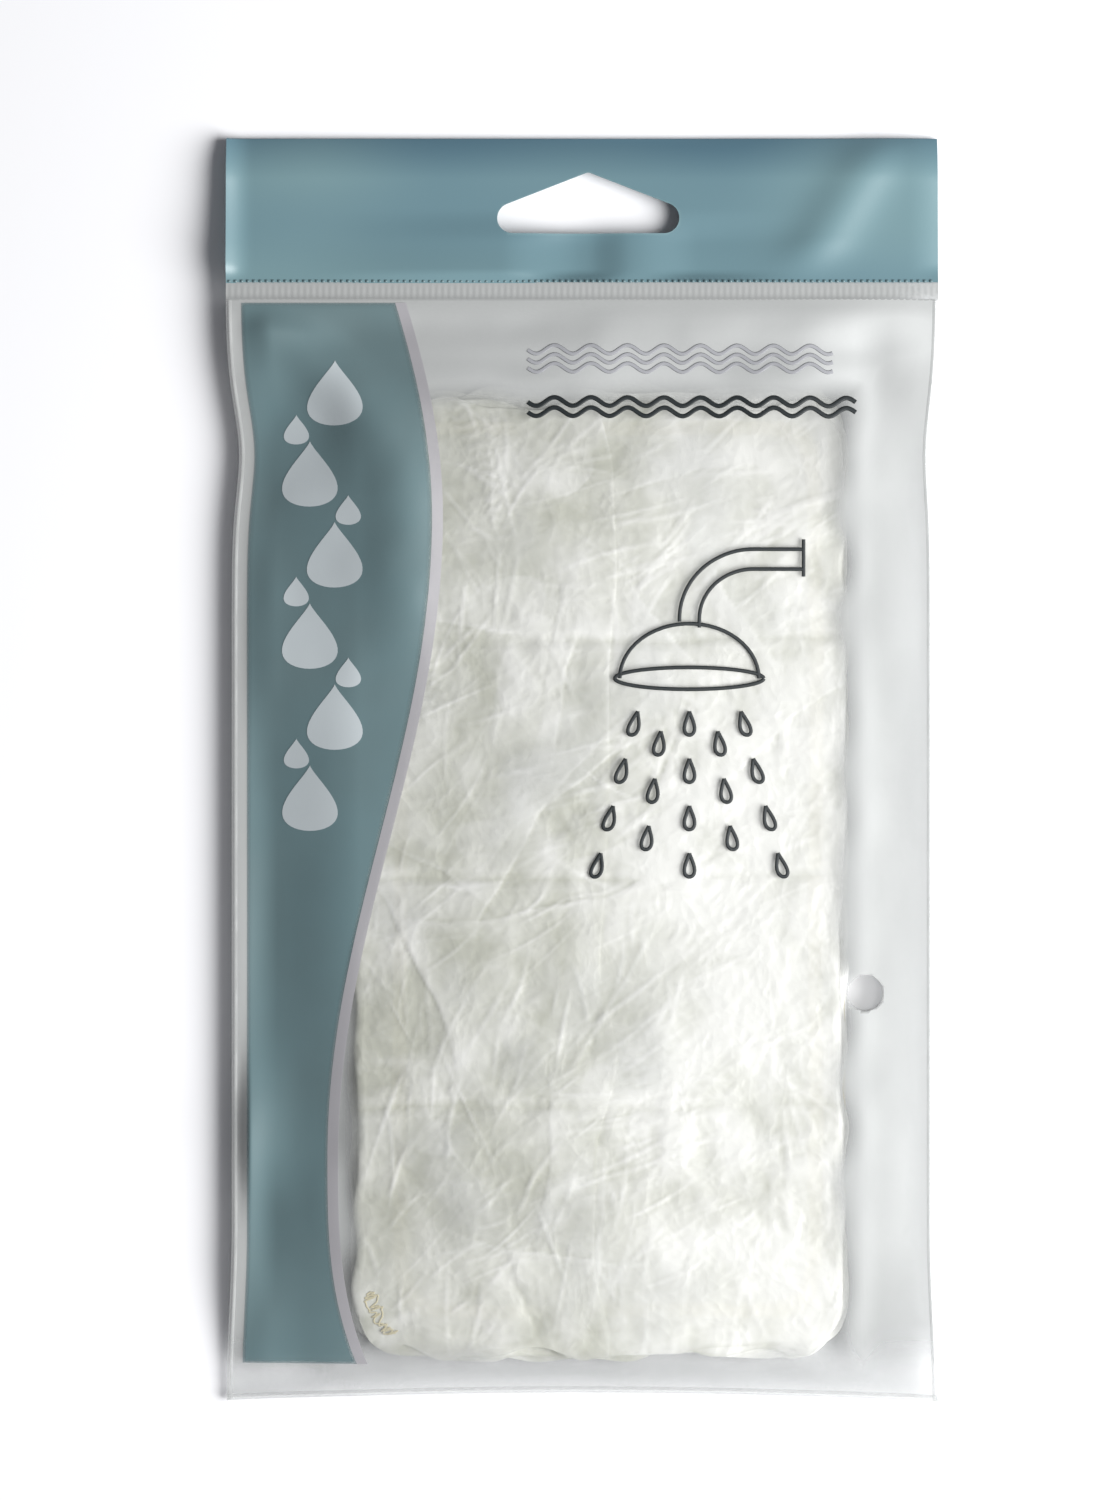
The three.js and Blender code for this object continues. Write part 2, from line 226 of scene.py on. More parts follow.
def corner_value(column, row, seed):
    """A repeatable value from -1 to 1 for each corner of an endless square lattice."""
    mixed = (column * MIX_COLUMN + row * MIX_ROW + seed * MIX_SEED) & LOW_32_BITS
    mixed = ((mixed ^ (mixed >> 13)) * MIX_AGAIN) & LOW_32_BITS
    return ((mixed ^ (mixed >> 16)) & LOW_16_BITS) / (LOW_16_BITS / 2) - 1


def lattice(x, y, seed):
    """The four corner values round each point and the point's place between them."""
    column = np.floor(x).astype(np.int64)
    row = np.floor(y).astype(np.int64)
    values = [corner_value(column + i, row + j, seed) for j in (0, 1) for i in (0, 1)]
    return values, x - column, y - row


def noise(x, y, seed):
    """Smooth noise from -1 to 1 with a wave of about two units."""
    (a, b, c, d), fx, fy = lattice(x, y, seed)
    fx = ease(fx)
    fy = ease(fy)
    return (a + (b - a) * fx) * (1 - fy) + (c + (d - c) * fx) * fy


def waves(x, y, wide, tall, seed):
    """Smooth noise whose waves are about twice as wide and tall as given in millimetres."""
    return noise(x / (wide * MM), y / (tall * MM), seed)


def wander(along, run, seed):
    """Smooth noise along a line, with a run in millimetres."""
    return noise(along / (run * MM), along * 0, seed)


def facets(x, y, seed):
    """Flat three-cornered facets with sharp creases between them, from -1 to 1."""
    (a, b, c, d), fx, fy = lattice(x, y, seed)
    lower = a + (b - a) * fx + (d - b) * fy
    upper = a + (c - a) * fy + (d - c) * fx
    return np.where(fx > fy, lower, upper)


def bent(x, y, cell, turn, stretch, warp, seed):
    """Points in units of a cell, turned and stretched, with their straight lines bent by noise."""
    along, across = turned(x, y, (0, 0), turn)
    along = along / (stretch * cell)
    across = across / cell
    bent_along = along + warp * noise(0.8 * along, 0.8 * across, seed + 11)
    bent_across = across + warp * noise(0.8 * along, 0.8 * across, seed + 23)
    return bent_along, bent_across


def crumple(x, y, seed):
    """Crumpled film, from about -1 to 1: facets of four sizes whose creases are bent by noise."""
    total = np.zeros_like(x)
    for octave in range(4):
        cell = 9 * 0.55 ** octave * MM
        along, across = bent(
            x, y, cell, turn=0.7 + 1.2 * octave, stretch=2.1, warp=0.4, seed=seed + octave
        )
        total += 0.5 ** octave * facets(along, across, seed + octave)
    return total


def veins(x, y, cell, sharp, turn, seed):
    """A net of thin bent creases, 1 on a crease and 0 away from it."""
    along, across = bent(x, y, cell, turn, stretch=2.0, warp=0.9, seed=seed)
    return np.clip(1 - sharp * np.abs(noise(along, across, seed)), 0, 1)


def pinches(x, y, low, high, count, seed):
    """Bundles of short curved ridges, up to about 1, where thin film was pinched."""
    draw = np.random.default_rng(seed)
    total = np.zeros_like(x)
    for _ in range(count):
        middle = draw.uniform(low, high)
        lead = waves(middle[:1], middle[1:], 20, 20, seed)[0]
        turn = 1.1 + 1.3 * lead + draw.normal(0, 0.35)
        reach = draw.uniform(2.5, 12) * MM
        width = draw.uniform(0.4, 0.8) * MM
        rise = draw.uniform(0.3, 1.0)
        bend = draw.uniform(-0.14, 0.14)
        near = (np.abs(x - middle[0]) < reach) & (np.abs(y - middle[1]) < reach)
        along, off = turned(x[near], y[near], middle, turn)
        off = off + bend * along * along / reach
        ridge = np.clip(1 - np.abs(off) / width, 0, 1)
        total[near] += rise * ridge * np.clip(1 - (along / reach) ** 2, 0, 1)
    return np.clip(total, 0, 1.2)


def overlaps(x, y, low, high, count, seed):
    """Long edges of folded film: each a step up from 0 to about 1 that falls away behind it."""
    draw = np.random.default_rng(seed)
    total = np.zeros_like(x)
    for _ in range(count):
        middle = draw.uniform(low, high)
        turn = draw.uniform(0, 2 * math.pi)
        reach = draw.uniform(9, 30) * MM
        deep = draw.uniform(4, 11) * MM
        along, off = turned(x, y, middle, turn)
        off = off + 0.7 * MM * wander(along, 7, seed) + 0.12 * along * along / reach
        fade = np.clip(1 - (along / reach) ** 2, 0, 1) * np.clip(1 - off / deep, 0, 1)
        total += draw.uniform(0.4, 1.0) * fade * past(off + 0.3 * MM, 0.5)
    return total


def gathers(x, y, low, high, count, seed):
    """Strips of gathered film with fine ridges across them, up to 1."""
    ridge_pitch = 1.9 * MM
    draw = np.random.default_rng(seed)
    total = np.zeros_like(x)
    for _ in range(count):
        middle = draw.uniform(low, high)
        turn = draw.normal(1.9, 0.5)
        reach = draw.uniform(9, 20) * MM
        wide = draw.uniform(2.0, 3.6) * MM
        along, off = turned(x, y, middle, turn)
        off = off + 1.5 * MM * wander(along, 12, seed + 1)
        inside = past(wide - np.abs(off), 0.6) * past(reach - np.abs(along), 3)
        phase = 2 * math.pi * along / ridge_pitch + 2 * waves(off, along, 1, 3, seed)
        total += inside * (0.6 + 0.4 * np.sin(phase))
    return np.clip(total, 0, 1)


# The pouch's outline and its two films


def draw_in(y, waist):
    """How far a side lies inside the full width at y: drawn in over the caps and nipped below the seal."""
    s = sizes()
    off_bottom = ease((y - POUCH_BOTTOM) / s.side_ease)
    off_seal = ease((CRIMP_LOW[1] - y) / s.side_ease)
    from_waist = (y - CRIMP_LOW[1] + s.waist_below_seal) / s.waist_spread
    return off_seal * (s.side_draw_in * off_bottom + waist * np.exp(-from_waist ** 2))


def left_edge(y):
    """Left side of the pouch at y."""
    return -HALF_WIDTH + draw_in(y, sizes().left_waist)


def right_edge(y):
    """Right side of the pouch at y."""
    return HALF_WIDTH - draw_in(y, sizes().right_waist)


def bottom_edge(x):
    """Bottom edge of the pouch at x."""
    return POUCH_BOTTOM + sizes().bottom_arch * (1 - (x / HALF_WIDTH) ** 2)


def swell(x, y, cap):
    """Share of its full height that a film has reached between the rim, 0, and the cap under it, 1."""
    s = sizes()
    low, high = corners(cap)
    foot = s.weld_width + s.rim_width
    left_foot = left_edge(y) + s.weld_width
    right_foot = right_edge(y) - foot
    bottom_foot = bottom_edge(x) + foot
    top_foot = CRIMP_LOW[1] - s.rim_width
    left = ease((x - left_foot) / (low[0] - s.shoulder - left_foot))
    right = ease((right_foot - x) / (right_foot - high[0] - s.shoulder))
    bottom = ease((y - bottom_foot) / (low[1] - s.shoulder - bottom_foot))
    top = ease((top_foot - y) / (top_foot - high[1] - s.shoulder - s.cap_travel))
    return left * right * bottom * top


def rim_sag(x, y):
    """How far the rim sags towards the table: along the left side, and most at the two bottom corners."""
    s = sizes()
    from_corner = np.hypot(HALF_WIDTH - np.abs(x), y - POUCH_BOTTOM)
    off_seal = ease((CRIMP_LOW[1] - y) / s.side_ease)
    to_left = ease(0.5 - x / (2 * HALF_WIDTH))
    at_corner = ease(1 - from_corner / s.corner_reach) * (0.35 + 0.65 * to_left)
    return s.corner_sag * at_corner + s.side_sag * off_seal * to_left


def crowned(x, y, z, room=0):
    """Height z in the stack after it has settled: full in the middle and thinner towards its sides and ends.

    Room moves the fall at the upper end up, so that the film leaves the caps room to slide.
    """
    s = sizes()
    low, high = corners("cap_4_film")
    share = (2 * (x + s.crown_shift) - low[0] - high[0]) / (high[0] - low[0])
    run = s.taper_reach + TAPER_PAST_END
    to_top = ease((y - room - high[1] + s.taper_reach) / run)
    to_bottom = ease((low[1] + s.taper_reach - y) / run)
    to_side = 1.25 * share ** 2 / (1 + 0.25 * share ** 4)
    fall = s.crown * to_side + s.taper * (1.4 * to_top + to_bottom)
    return z * (1 - fall / high[2])


def lower_film(cap, x, y):
    """Height of the lower film of a cap, high enough for the cap below to slide under it."""
    return crowned(x, y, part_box(f"{cap}_film")[0][2] + ROOM_UNDER_CAP, 0.5 * sizes().cap_travel)


def film_folds(x, y, on_caps):
    """Soft folds of the front film, which die out at its rim and only rise where it lies on the caps."""
    s = sizes()
    off_left = x - left_edge(y) - s.weld_width
    off_right = right_edge(y) - s.weld_width - x
    off_bottom = y - bottom_edge(x) - s.weld_width
    off_seal = CRIMP_LOW[1] - y
    held = past(off_left, 7) * past(off_right, 7) * past(off_bottom, 5) * past(off_seal, 6)
    near_bottom = 1 - past(y - POUCH_BOTTOM, 26)
    near_top = 1 - past(off_seal, 34)
    near_left = 1 - past(x + HALF_WIDTH, 34)
    near_right = 1 - past(HALF_WIDTH - x, 24)
    swayed = x / (13 * MM) + 0.4 * noise(y / (20 * MM), x * 0, 5)
    folds = 0.55 * near_bottom * waves(x, y, 8, 40, 3)
    folds = folds + 0.5 * near_top * noise(swayed, y / (26 * MM), 7)
    folds = folds + 1.5 * near_left * waves(x, y, 20, 27, 12)
    folds = folds + 0.4 * near_right * (1 - near_top) * waves(x, y, 9, 24, 17)
    folds = folds + 0.2 * waves(x, y, 12, 15, 21) + 0.08 * waves(x, y, 5, 6, 29)

    # The long fold beside the panel, which bends away to the left at its upper end
    above_bend = np.clip(y - 46 * MM, 0, None)
    along = (y - 50 * MM) / (29 * MM)
    off = (x + 31.5 * MM + 21 * above_bend ** 2) / (8 * MM)
    folds = folds + 2.7 * np.exp(-off * off - along ** 4)

    # The tent above the caps at the upper right, and the dent that lifts the left side near the bottom
    folds = folds + 1.9 * mound(x, y, (36, 66), (12, 16))
    rising = 0.5 * (folds + np.sqrt(folds * folds + 0.04)) - 0.1
    folds = held * (folds + (rising - folds) * on_caps)
    dent = mound(x, y, (-60, -64), (6.5, 11))
    return (folds + 2.0 * dent * past(off_left, 2.5)) * MM


def front_height(x, y):
    """Height of the outer face of the front film."""
    share = swell(x, y, "cap_4_film")
    top = crowned(x, y, FILM_HIGH[2] + sizes().film_lift, sizes().cap_travel)
    rim = RIM_TOP - rim_sag(x, y)
    return rim + (top - rim) * share + film_folds(x, y, share)


def back_height(x, y):
    """Height of the outer face of the back film, which lies on the table under the caps."""
    share = swell(x, y, "cap_1_film")
    lifted = 0.5 + 0.5 * waves(x, y, 11, 14, 41)
    lift = 0.16 * MM * lifted * ease((share - 0.6) / 0.4)
    rim = RIM_BASE - rim_sag(x, y)
    return rim + (BACK_LOW[2] - rim) * share + lift


def on_table(y):
    """How near the film at the bottom has come to the table, 1 at the bottom edge."""
    return past(POUCH_BOTTOM + 15 * MM - y, 11)


# Each with its start and its run along the header, and its rise, in mm
FOLDS_UNDER_HOLE = ((-50, 36, 1.0), (-14, 14, -2.0), (1, 7.5, 1.1), (9, 11, -1.0), (20, 22, 0.9))
# How far the header may fall below the seal, in mm, before it lies on the table
DEEPEST_FALL = 3.7


def header_wave(x, y):
    """Soft waves of the header, which falls from the seal: one end curls up and its free edge curls down."""
    tall = HEADER_HIGH[1] - CRIMP_HIGH[1]
    up = y - CRIMP_HIGH[1]
    share = up / tall
    drift = 0.8 * noise(x / (30 * MM) + 0.7 * share, y / (40 * MM), 51)
    glance = (x - 37.5 * MM - 0.6 * up) / (5.5 * MM)
    drift = drift + 1.1 * np.exp(-glance * glance)
    under_hole = past(up, 2) * past(13 * MM - up, 6)
    folds = under_hole * sum(rise * ease((x / MM - start) / run) for start, run, rise in FOLDS_UNDER_HOLE)
    left_end = np.clip(1 - (HALF_WIDTH + x) / (4.2 * MM), 0, 1) ** 2 * past(up, 3)
    right_end = np.clip(1 - (HALF_WIDTH - x) / (5 * MM), 0, 1) ** 2 * past(up, 3)
    edge = np.clip((up - tall + 7.5 * MM) / (7.5 * MM), 0, 1) ** 2
    fall = 1.5 * share * (2 - share) + 2.1 * edge
    drift = past(up, 8) * drift * (1 - 0.6 * edge)
    total = drift + folds + 1.3 * left_end - 0.6 * right_end - fall
    return np.maximum(total, -DEEPEST_FALL) * MM


# Modelling with grids that are laid on those surfaces


def deselect():
    """Leaves nothing selected, as operators act on all that is."""
    bpy.ops.object.select_all(action="DESELECT")


def places(piece):
    """The places of a piece's points, one row each."""
    flat = np.empty(3 * len(piece.data.vertices))
    piece.data.vertices.foreach_get("co", flat)
    return flat.reshape(-1, 3)


def grid(name, columns, rows):
    """A flat grid piece and the shares, 0 to 1, of its points across and along."""
    deselect()
    bpy.ops.mesh.primitive_grid_add(x_subdivisions=columns, y_subdivisions=rows, size=1)
    piece = bpy.context.active_object
    piece.name = name
    piece.data.name = name
    flat = places(piece)
    return piece, flat[:, 0] + 0.5, flat[:, 1] + 0.5


def lay(piece, x, y, z):
    """Moves a piece's points to their places."""
    points = np.stack([np.broadcast_to(part, x.shape) for part in (x, y, z)], axis=1)
    piece.data.vertices.foreach_set("co", points.astype(np.float32).ravel())
    piece.data.update()


def paint(piece, name, values):
    """Keeps one number for each point of a piece, for its material to read."""
    attribute = piece.data.attributes.new(name, "FLOAT", "POINT")
    attribute.data.foreach_set("value", values.astype(np.float32))


def select_only(*pieces):
    """Selects the given pieces alone and makes the first one active."""
    deselect()
    for piece in pieces:
        piece.select_set(True)
    bpy.context.view_layer.objects.active = pieces[0]


def modify(piece, kind, **settings):
    """Adds a modifier with its settings and applies it."""
    select_only(piece)
    bpy.ops.object.modifier_add(type=kind)
    modifier = piece.modifiers[-1]
    for name, value in settings.items():
        setattr(modifier, name, value)
    bpy.ops.object.modifier_apply(modifier=modifier.name)


def edit_all(piece, operator, **settings):
    """Runs one edit-mode operator on the whole of a piece."""
    select_only(piece)
    bpy.ops.object.mode_set(mode="EDIT")
    bpy.ops.mesh.select_all(action="SELECT")
    operator(**settings)
    bpy.ops.object.mode_set(mode="OBJECT")


def face_up(piece, face):
    """Turns a sheet over if the given one of its faces looks down."""
    if piece.data.polygons[face].normal.z < 0:
        piece.data.flip_normals()


def thicken(piece, thickness, offset):
    """Gives a sheet its thickness, below its face for offset -1 and above it for 1."""
    modify(piece, "SOLIDIFY", thickness=thickness, offset=offset)
    bpy.ops.object.shade_smooth_by_angle(angle=SMOOTH_ANGLE)


def peg(radius, x, y):
    """An upright round cutter that goes through every layer."""
    deselect()
    bpy.ops.mesh.primitive_cylinder_add(
        vertices=48, radius=radius, depth=PEG_LENGTH, location=(x, y, RIM_BASE)
    )
    return bpy.context.active_object


def punch(piece, cutter):
    """Cuts the cutter's shape through a piece."""
    modify(piece, "BOOLEAN", operation="DIFFERENCE", solver="EXACT", object=cutter)


def remove(piece):
    """Deletes a piece that has done its work."""
    select_only(piece)
    bpy.ops.object.delete()


def join(name, pieces):
    """Joins pieces into one object under the given name."""
    select_only(*pieces)
    bpy.ops.object.join()
    piece = bpy.context.active_object
    piece.name = name
    piece.data.name = name
    return piece


def inked(name, lines, width, height, flatness=0.1):
    """Thin flat lines of ink, of a width and along paths in millimetres, laid on a surface."""
    curve = bpy.data.curves.new(name, "CURVE")
    curve.dimensions = "3D"
    curve.bevel_depth = width / 2 * MM
    curve.bevel_resolution = 1
    curve.use_fill_caps = True
    for line in lines:
        spline = curve.splines.new("POLY")
        spline.points.add(len(line) - 1)
        for point, (x, y) in zip(spline.points, line):
            point.co = (x * MM, y * MM, 0, 1)
    piece = bpy.data.objects.new(name, curve)
    bpy.context.scene.collection.objects.link(piece)
    select_only(piece)
    bpy.ops.object.convert(target="MESH")
    piece = bpy.context.active_object
    x, y, z = places(piece).T
    lay(piece, x, y, height(x, y) + flatness * z)
    return piece


def drop(x, y, tall, height):
    """A solid water drop of ink with its point up, laid on a surface."""
    piece, u, v = grid("drop", 48, 10)
    turn = 2 * math.pi * u
    at_x = x + v * 0.62 * tall * drop_width(turn)
    at_y = y + v * 0.5 * tall * np.cos(turn) - (1 - v) * 0.22 * tall
    lay(piece, at_x, at_y, height(at_x, at_y))
    edit_all(piece, bpy.ops.mesh.remove_doubles, threshold=MERGE_DISTANCE)
    face_up(piece, len(piece.data.polygons) // 2)
    return piece


def finish_piece(piece, material, body, slot, *nodes):
    """Gives a piece its material and its body, and hides the nodes it stands for; the slot is not used."""
    piece.data.materials.clear()
    piece.data.materials.append(material)
    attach(piece, body)
    if nodes:
        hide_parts(*nodes)
    return piece


# Materials


def node(tree, kind, inputs=(), **settings):
    """Adds a node with its settings; an input is a value, or a socket to link."""
    made = tree.nodes.new(kind)
    for name, value in settings.items():
        setattr(made, name, value)
    for name, value in dict(inputs).items():
        if isinstance(value, bpy.types.NodeSocket):
            tree.links.new(value, made.inputs[name])
        else:
            made.inputs[name].default_value = value
    return made


def start_material(name):
    """A new material with its node tree and object coordinates, or the one already made, alone."""
    material = bpy.data.materials.get(name)
    if material:
        return material, None, None
    material = bpy.data.materials.new(name)
    material.use_nodes = True
    tree = material.node_tree
    tree.nodes.clear()
    place = node(tree, "ShaderNodeTexCoord").outputs["Object"]
    return material, tree, place


def per_mm(size):
    """Texture scale whose pattern repeats about every size millimetres."""
    return 1 / (size * MM)


def darker(tone, share):
    """A colour with a share of its light."""
    return tuple(share * part for part in tone)


def film_shader(
    name, tone, rough, grain_mm, bump_mm=0.01, alpha=1.0, deep=None, patch_mm=9.0, tone_by=None, alpha_by=None
):
    """Film with a drifting tone, a satin finish and a fine grain; tone and alpha may follow an attribute."""
    material, tree, place = start_material(name)
    if tree is None:
        return material
    patches = node(tree, "ShaderNodeTexNoise", {"Vector": place, "Scale": per_mm(patch_mm), "Detail": 3.0})
    mixing = patches.outputs["Fac"]
    if tone_by:
        mixing = node(tree, "ShaderNodeAttribute", attribute_name=tone_by).outputs["Fac"]
    mixed = node(
        tree, "ShaderNodeMix",
        {"Factor": mixing, "A": (*tone, 1), "B": (*(deep or tone), 1)},
        data_type="RGBA",
    )
    satin = node(
        tree, "ShaderNodeMapRange",
        {
            "Value": patches.outputs["Fac"], "From Min": 0.3, "From Max": 0.7,
            "To Min": rough[0], "To Max": rough[1],
        },
    )
    # The real grain is finer than the render shows, so it is drawn coarser
    grain = node(tree, "ShaderNodeTexNoise", {"Vector": place, "Scale": per_mm(grain_mm), "Detail": 4.0})
    bump = node(
        tree, "ShaderNodeBump", {"Height": grain.outputs["Fac"], "Strength": 0.6, "Distance": bump_mm * MM}
    )
    if alpha_by:
        alpha = node(tree, "ShaderNodeAttribute", attribute_name=alpha_by).outputs["Fac"]
    shader = node(
        tree, "ShaderNodeBsdfPrincipled",
        {
            "Base Color": mixed.outputs["Result"],
            "Roughness": satin.outputs["Result"],
            "Normal": bump.outputs["Normal"],
            "Alpha": alpha,
        },
    )
    node(tree, "ShaderNodeOutputMaterial", {"Surface": shader.outputs["BSDF"]})
    return material


def frosted_front():
    """Blown polyethylene with a matt skin: clear where it lies on something, milky where it stands off."""
    return film_shader(
        "frosted_polyethylene_film", colours().film, rough=(0.48, 0.58), grain_mm=0.9, bump_mm=0.02,
        alpha_by="milk",
    )


def frosted_back():
    """The same film seen with the hollow pouch behind it: greyer and denser."""
    return film_shader(
        "frosted_polyethylene_back", colours().back, rough=(0.34, 0.46), grain_mm=0.9, bump_mm=0.02,
        alpha_by="milk",
    )


def welded_film():
    """Film melted together along an edge: a little denser and glossier than one ply."""
    return film_shader("melted_polyethylene_weld", colours().weld, rough=(0.3, 0.4), grain_mm=0.6, alpha=0.32)


def sealed_film():
    """Film pressed between ribbed jaws: greyer, with soft ribs."""
    return film_shader(
        "ribbed_polyethylene_seal", colours().seal, rough=(0.5, 0.6), grain_mm=0.6, alpha_by="cover"
    )


def teal_film():
    """Teal gravure ink under a matt skin, with painted shade towards the free edge, random darker patches and
    a satin sheen.
    """
    c = colours()
    return film_shader(
        "teal_printed_film", c.teal, rough=(0.3, 0.4), grain_mm=0.9, deep=c.teal_patches_and_shade, patch_mm=30,
        # The depth attribute carries painted shade towards the free edge, with random patches on top.
        tone_by="depth",
    )


def seal_mark_ink():
    """Teal film in small darker dots along the top of the seal."""
    return film_shader("darker_teal_dots", darker(colours().teal, 0.62), rough=(0.4, 0.5), grain_mm=0.5)


def teal_panel_ink():
    """The same teal ink on one ply, so a little light comes through it."""
    c = colours()
    return film_shader(
        "teal_ink_on_film", c.panel, rough=(0.42, 0.5), grain_mm=0.9, deep=c.panel_deep, patch_mm=30,
        alpha_by="cover",
    )


def silver_ink():
    """Silver-grey ink with fine flakes: paler than the film and a little shiny."""
    return film_shader("silver_ink_on_film", colours().silver, rough=(0.3, 0.4), grain_mm=0.5, alpha=0.7)


def faint_ink():
    """Pale silver ink that barely shows on the milky film."""
    return film_shader("pale_silver_ink_on_film", colours().faint, rough=(0.3, 0.4), grain_mm=0.5, alpha=0.6)


def white_ink():
    """Opaque white ink: even and matt."""
    return film_shader("white_ink_on_film", colours().white, rough=(0.42, 0.5), grain_mm=0.7, alpha=0.92)


def dark_ink():
    """Near-black ink in thin lines: matt, with slightly uneven cover."""
    return film_shader("dark_ink_on_film", colours().dark, rough=(0.42, 0.5), grain_mm=0.7, alpha=0.95)


def cap_film(name, alpha):
    """Very thin polyethylene: white where creases gather, greyer between, crinkles that catch light, and
    painted light and shade.
    """
    c = colours()
    material, tree, place = start_material(name)
    if tree is None:
        return material
    drift = node(tree, "ShaderNodeTexNoise", {"Vector": place, "Scale": per_mm(8), "Detail": 1.0})
    sway = node(
        tree, "ShaderNodeVectorMath", {0: drift.outputs["Color"], "Scale": 5 * MM}, operation="SCALE"
    )
    swayed = node(tree, "ShaderNodeVectorMath", {0: place, 1: sway.outputs["Vector"]}, operation="ADD")
    crinkles = node(
        tree, "ShaderNodeTexVoronoi",
        {
            "Vector": swayed.outputs["Vector"], "Scale": per_mm(9), "Detail": 2.0, "Roughness": 0.6,
            "Lacunarity": 2.3,
        },
        feature="F1", normalize=True,
    )
    # Painted light: the crinkles are lighter where their bump stands higher and darker in their dips.
    fine = node(
        tree, "ShaderNodeMapRange",
        {
            "Value": crinkles.outputs["Distance"], "From Min": 0.1, "From Max": 0.6,
            "To Min": -0.2, "To Max": 0.26,
        },
    )
    haze = node(
        tree, "ShaderNodeTexNoise", {"Vector": place, "Scale": per_mm(19), "Detail": 4.0, "Distortion": 1.2}
    )
    soft = node(
        tree, "ShaderNodeMapRange",
        {"Value": haze.outputs["Fac"], "From Min": 0.3, "From Max": 0.7, "To Min": -0.4, "To Max": 0.4},
    )
    # The crease attribute holds painted highlight and shade as well as the whiter film of creases, double
    # layers and print.
    crease = node(tree, "ShaderNodeAttribute", attribute_name="crease").outputs["Fac"]
    tone = node(
        tree, "ShaderNodeMath", {0: fine.outputs["Result"], 1: soft.outputs["Result"]}, operation="ADD"
    )
    tone = node(
        tree, "ShaderNodeMath", {0: tone.outputs["Value"], 1: crease}, operation="ADD", use_clamp=True
    )
    film = node(
        tree, "ShaderNodeMix",
        {"Factor": tone.outputs["Value"], "A": (*c.cap_hollow_shade, 1), "B": (*c.cap, 1)},
        data_type="RGBA",
    )
    bump = node(
        tree, "ShaderNodeBump",
        {"Height": crinkles.outputs["Distance"], "Strength": 0.6, "Distance": 1.2 * MM},
    )
    shader = node(
        tree, "ShaderNodeBsdfPrincipled",
        {
            "Base Color": film.outputs["Result"], "Roughness": 0.36,
            "Normal": bump.outputs["Normal"], "Alpha": alpha,
        },
    )
    node(tree, "ShaderNodeOutputMaterial", {"Surface": shader.outputs["BSDF"]})
    return material


def elastic_thread():
    """Cream elastic sewn in a hem: matt and lightly ribbed."""
    tone = colours().elastic
    return film_shader(
        "cream_elastic_hem", tone, rough=(0.5, 0.65), grain_mm=0.6, bump_mm=0.08, deep=darker(tone, 0.85)
    )


def gathered_film():
    """Film gathered tightly over the elastic, which shines through it: yellowish and half clear."""
    return film_shader(
        "gathered_film_over_elastic", darker(colours().elastic, 0.92), rough=(0.4, 0.5), grain_mm=0.6,
        bump_mm=0.02, alpha=0.55,
    )


def pale_floor():
    """Matt white board: even, with a barely visible tooth."""
    return film_shader("matt_white_board", colours().floor, rough=(0.8, 0.9), grain_mm=2.5)


# The pieces


class POUCH_OT_films(bpy.types.Operator):
    """Domed front film with its vent hole, and the back film"""

    bl_idname = "pouch.films"
    bl_label = "Front and back film"
    CLEAR = 0.06
    MILKY = 0.46
    BACK_MILKY = 0.4
    UNDER_SEAL = 0.2 * MM
    FRONT_GRID = (168, 270)
    BACK_GRID = (110, 180)

    def milk(self, x, y):
        """Cover of the front film: clear where it lies on the caps and milky where it stands off them."""
        low, high = corners("cap_4_film")
        across = np.minimum(x - low[0] + 5 * MM, high[0] - x + 1.5 * MM)
        inside = np.minimum(across, np.minimum(y - low[1] + 4 * MM, high[1] - y + MM))
        inside = inside + 1.5 * MM * waves(x, y, 9, 9, 33)
        off_caps = 1 - past(inside + 2 * MM, 6.5)
        lifted = np.clip(0.4 * waves(x, y, 11, 13, 35) - 0.1, 0, 1)
        at_edge = 0.3 * np.exp(-((inside + MM) / (2.6 * MM)) ** 2)
        at_seal = 0.26 * past(y - 66 * MM, 9) * past(CRIMP_LOW[1] - y, 4)
        at_corner = 0.34 * mound(x, y, (56, 74), (13, 20))
        cover = self.CLEAR + (self.MILKY - self.CLEAR) * np.maximum(off_caps, lifted)
        return (cover + at_edge + at_seal + at_corner) * (1 - 0.65 * on_table(y))

    def points(self, name, counts):
        """A grid between the middles of the welds and the seal."""
        piece, u, v = grid(name, *counts)
        inset = 0.5 * sizes().weld_width
        x = HALF_WIDTH * (2 * u - 1)
        low = bottom_edge(x) + inset
        y = low + (CRIMP_LOW[1] + self.UNDER_SEAL - low) * v
        left = left_edge(y) + inset
        x = left + (right_edge(y) - inset - left) * u
        return piece, x, y

    def execute(self, context):
        s = sizes()
        front, x, y = self.points("front_film_soft", self.FRONT_GRID)
        lay(front, x, y, front_height(x, y))
        paint(front, "milk", self.milk(x, y))
        thicken(front, s.film_thickness, -1)
        back, x, y = self.points("back_film_soft", self.BACK_GRID)
        lay(back, x, y, back_height(x, y))
        paint(back, "milk", self.BACK_MILKY - 0.25 * on_table(y))
        thicken(back, s.film_thickness, 1)
        cutter = peg(s.vent_diameter / 2, HALF_WIDTH - s.vent_from_right, POUCH_BOTTOM + s.vent_from_bottom)
        punch(front, cutter)
        punch(back, cutter)
        remove(cutter)
        finish_piece(front, frosted_front(), "pouch", "pouch_film", "front_film")
        finish_piece(back, frosted_back(), "pouch", "pouch_film", "back_film")
        return {"FINISHED"}


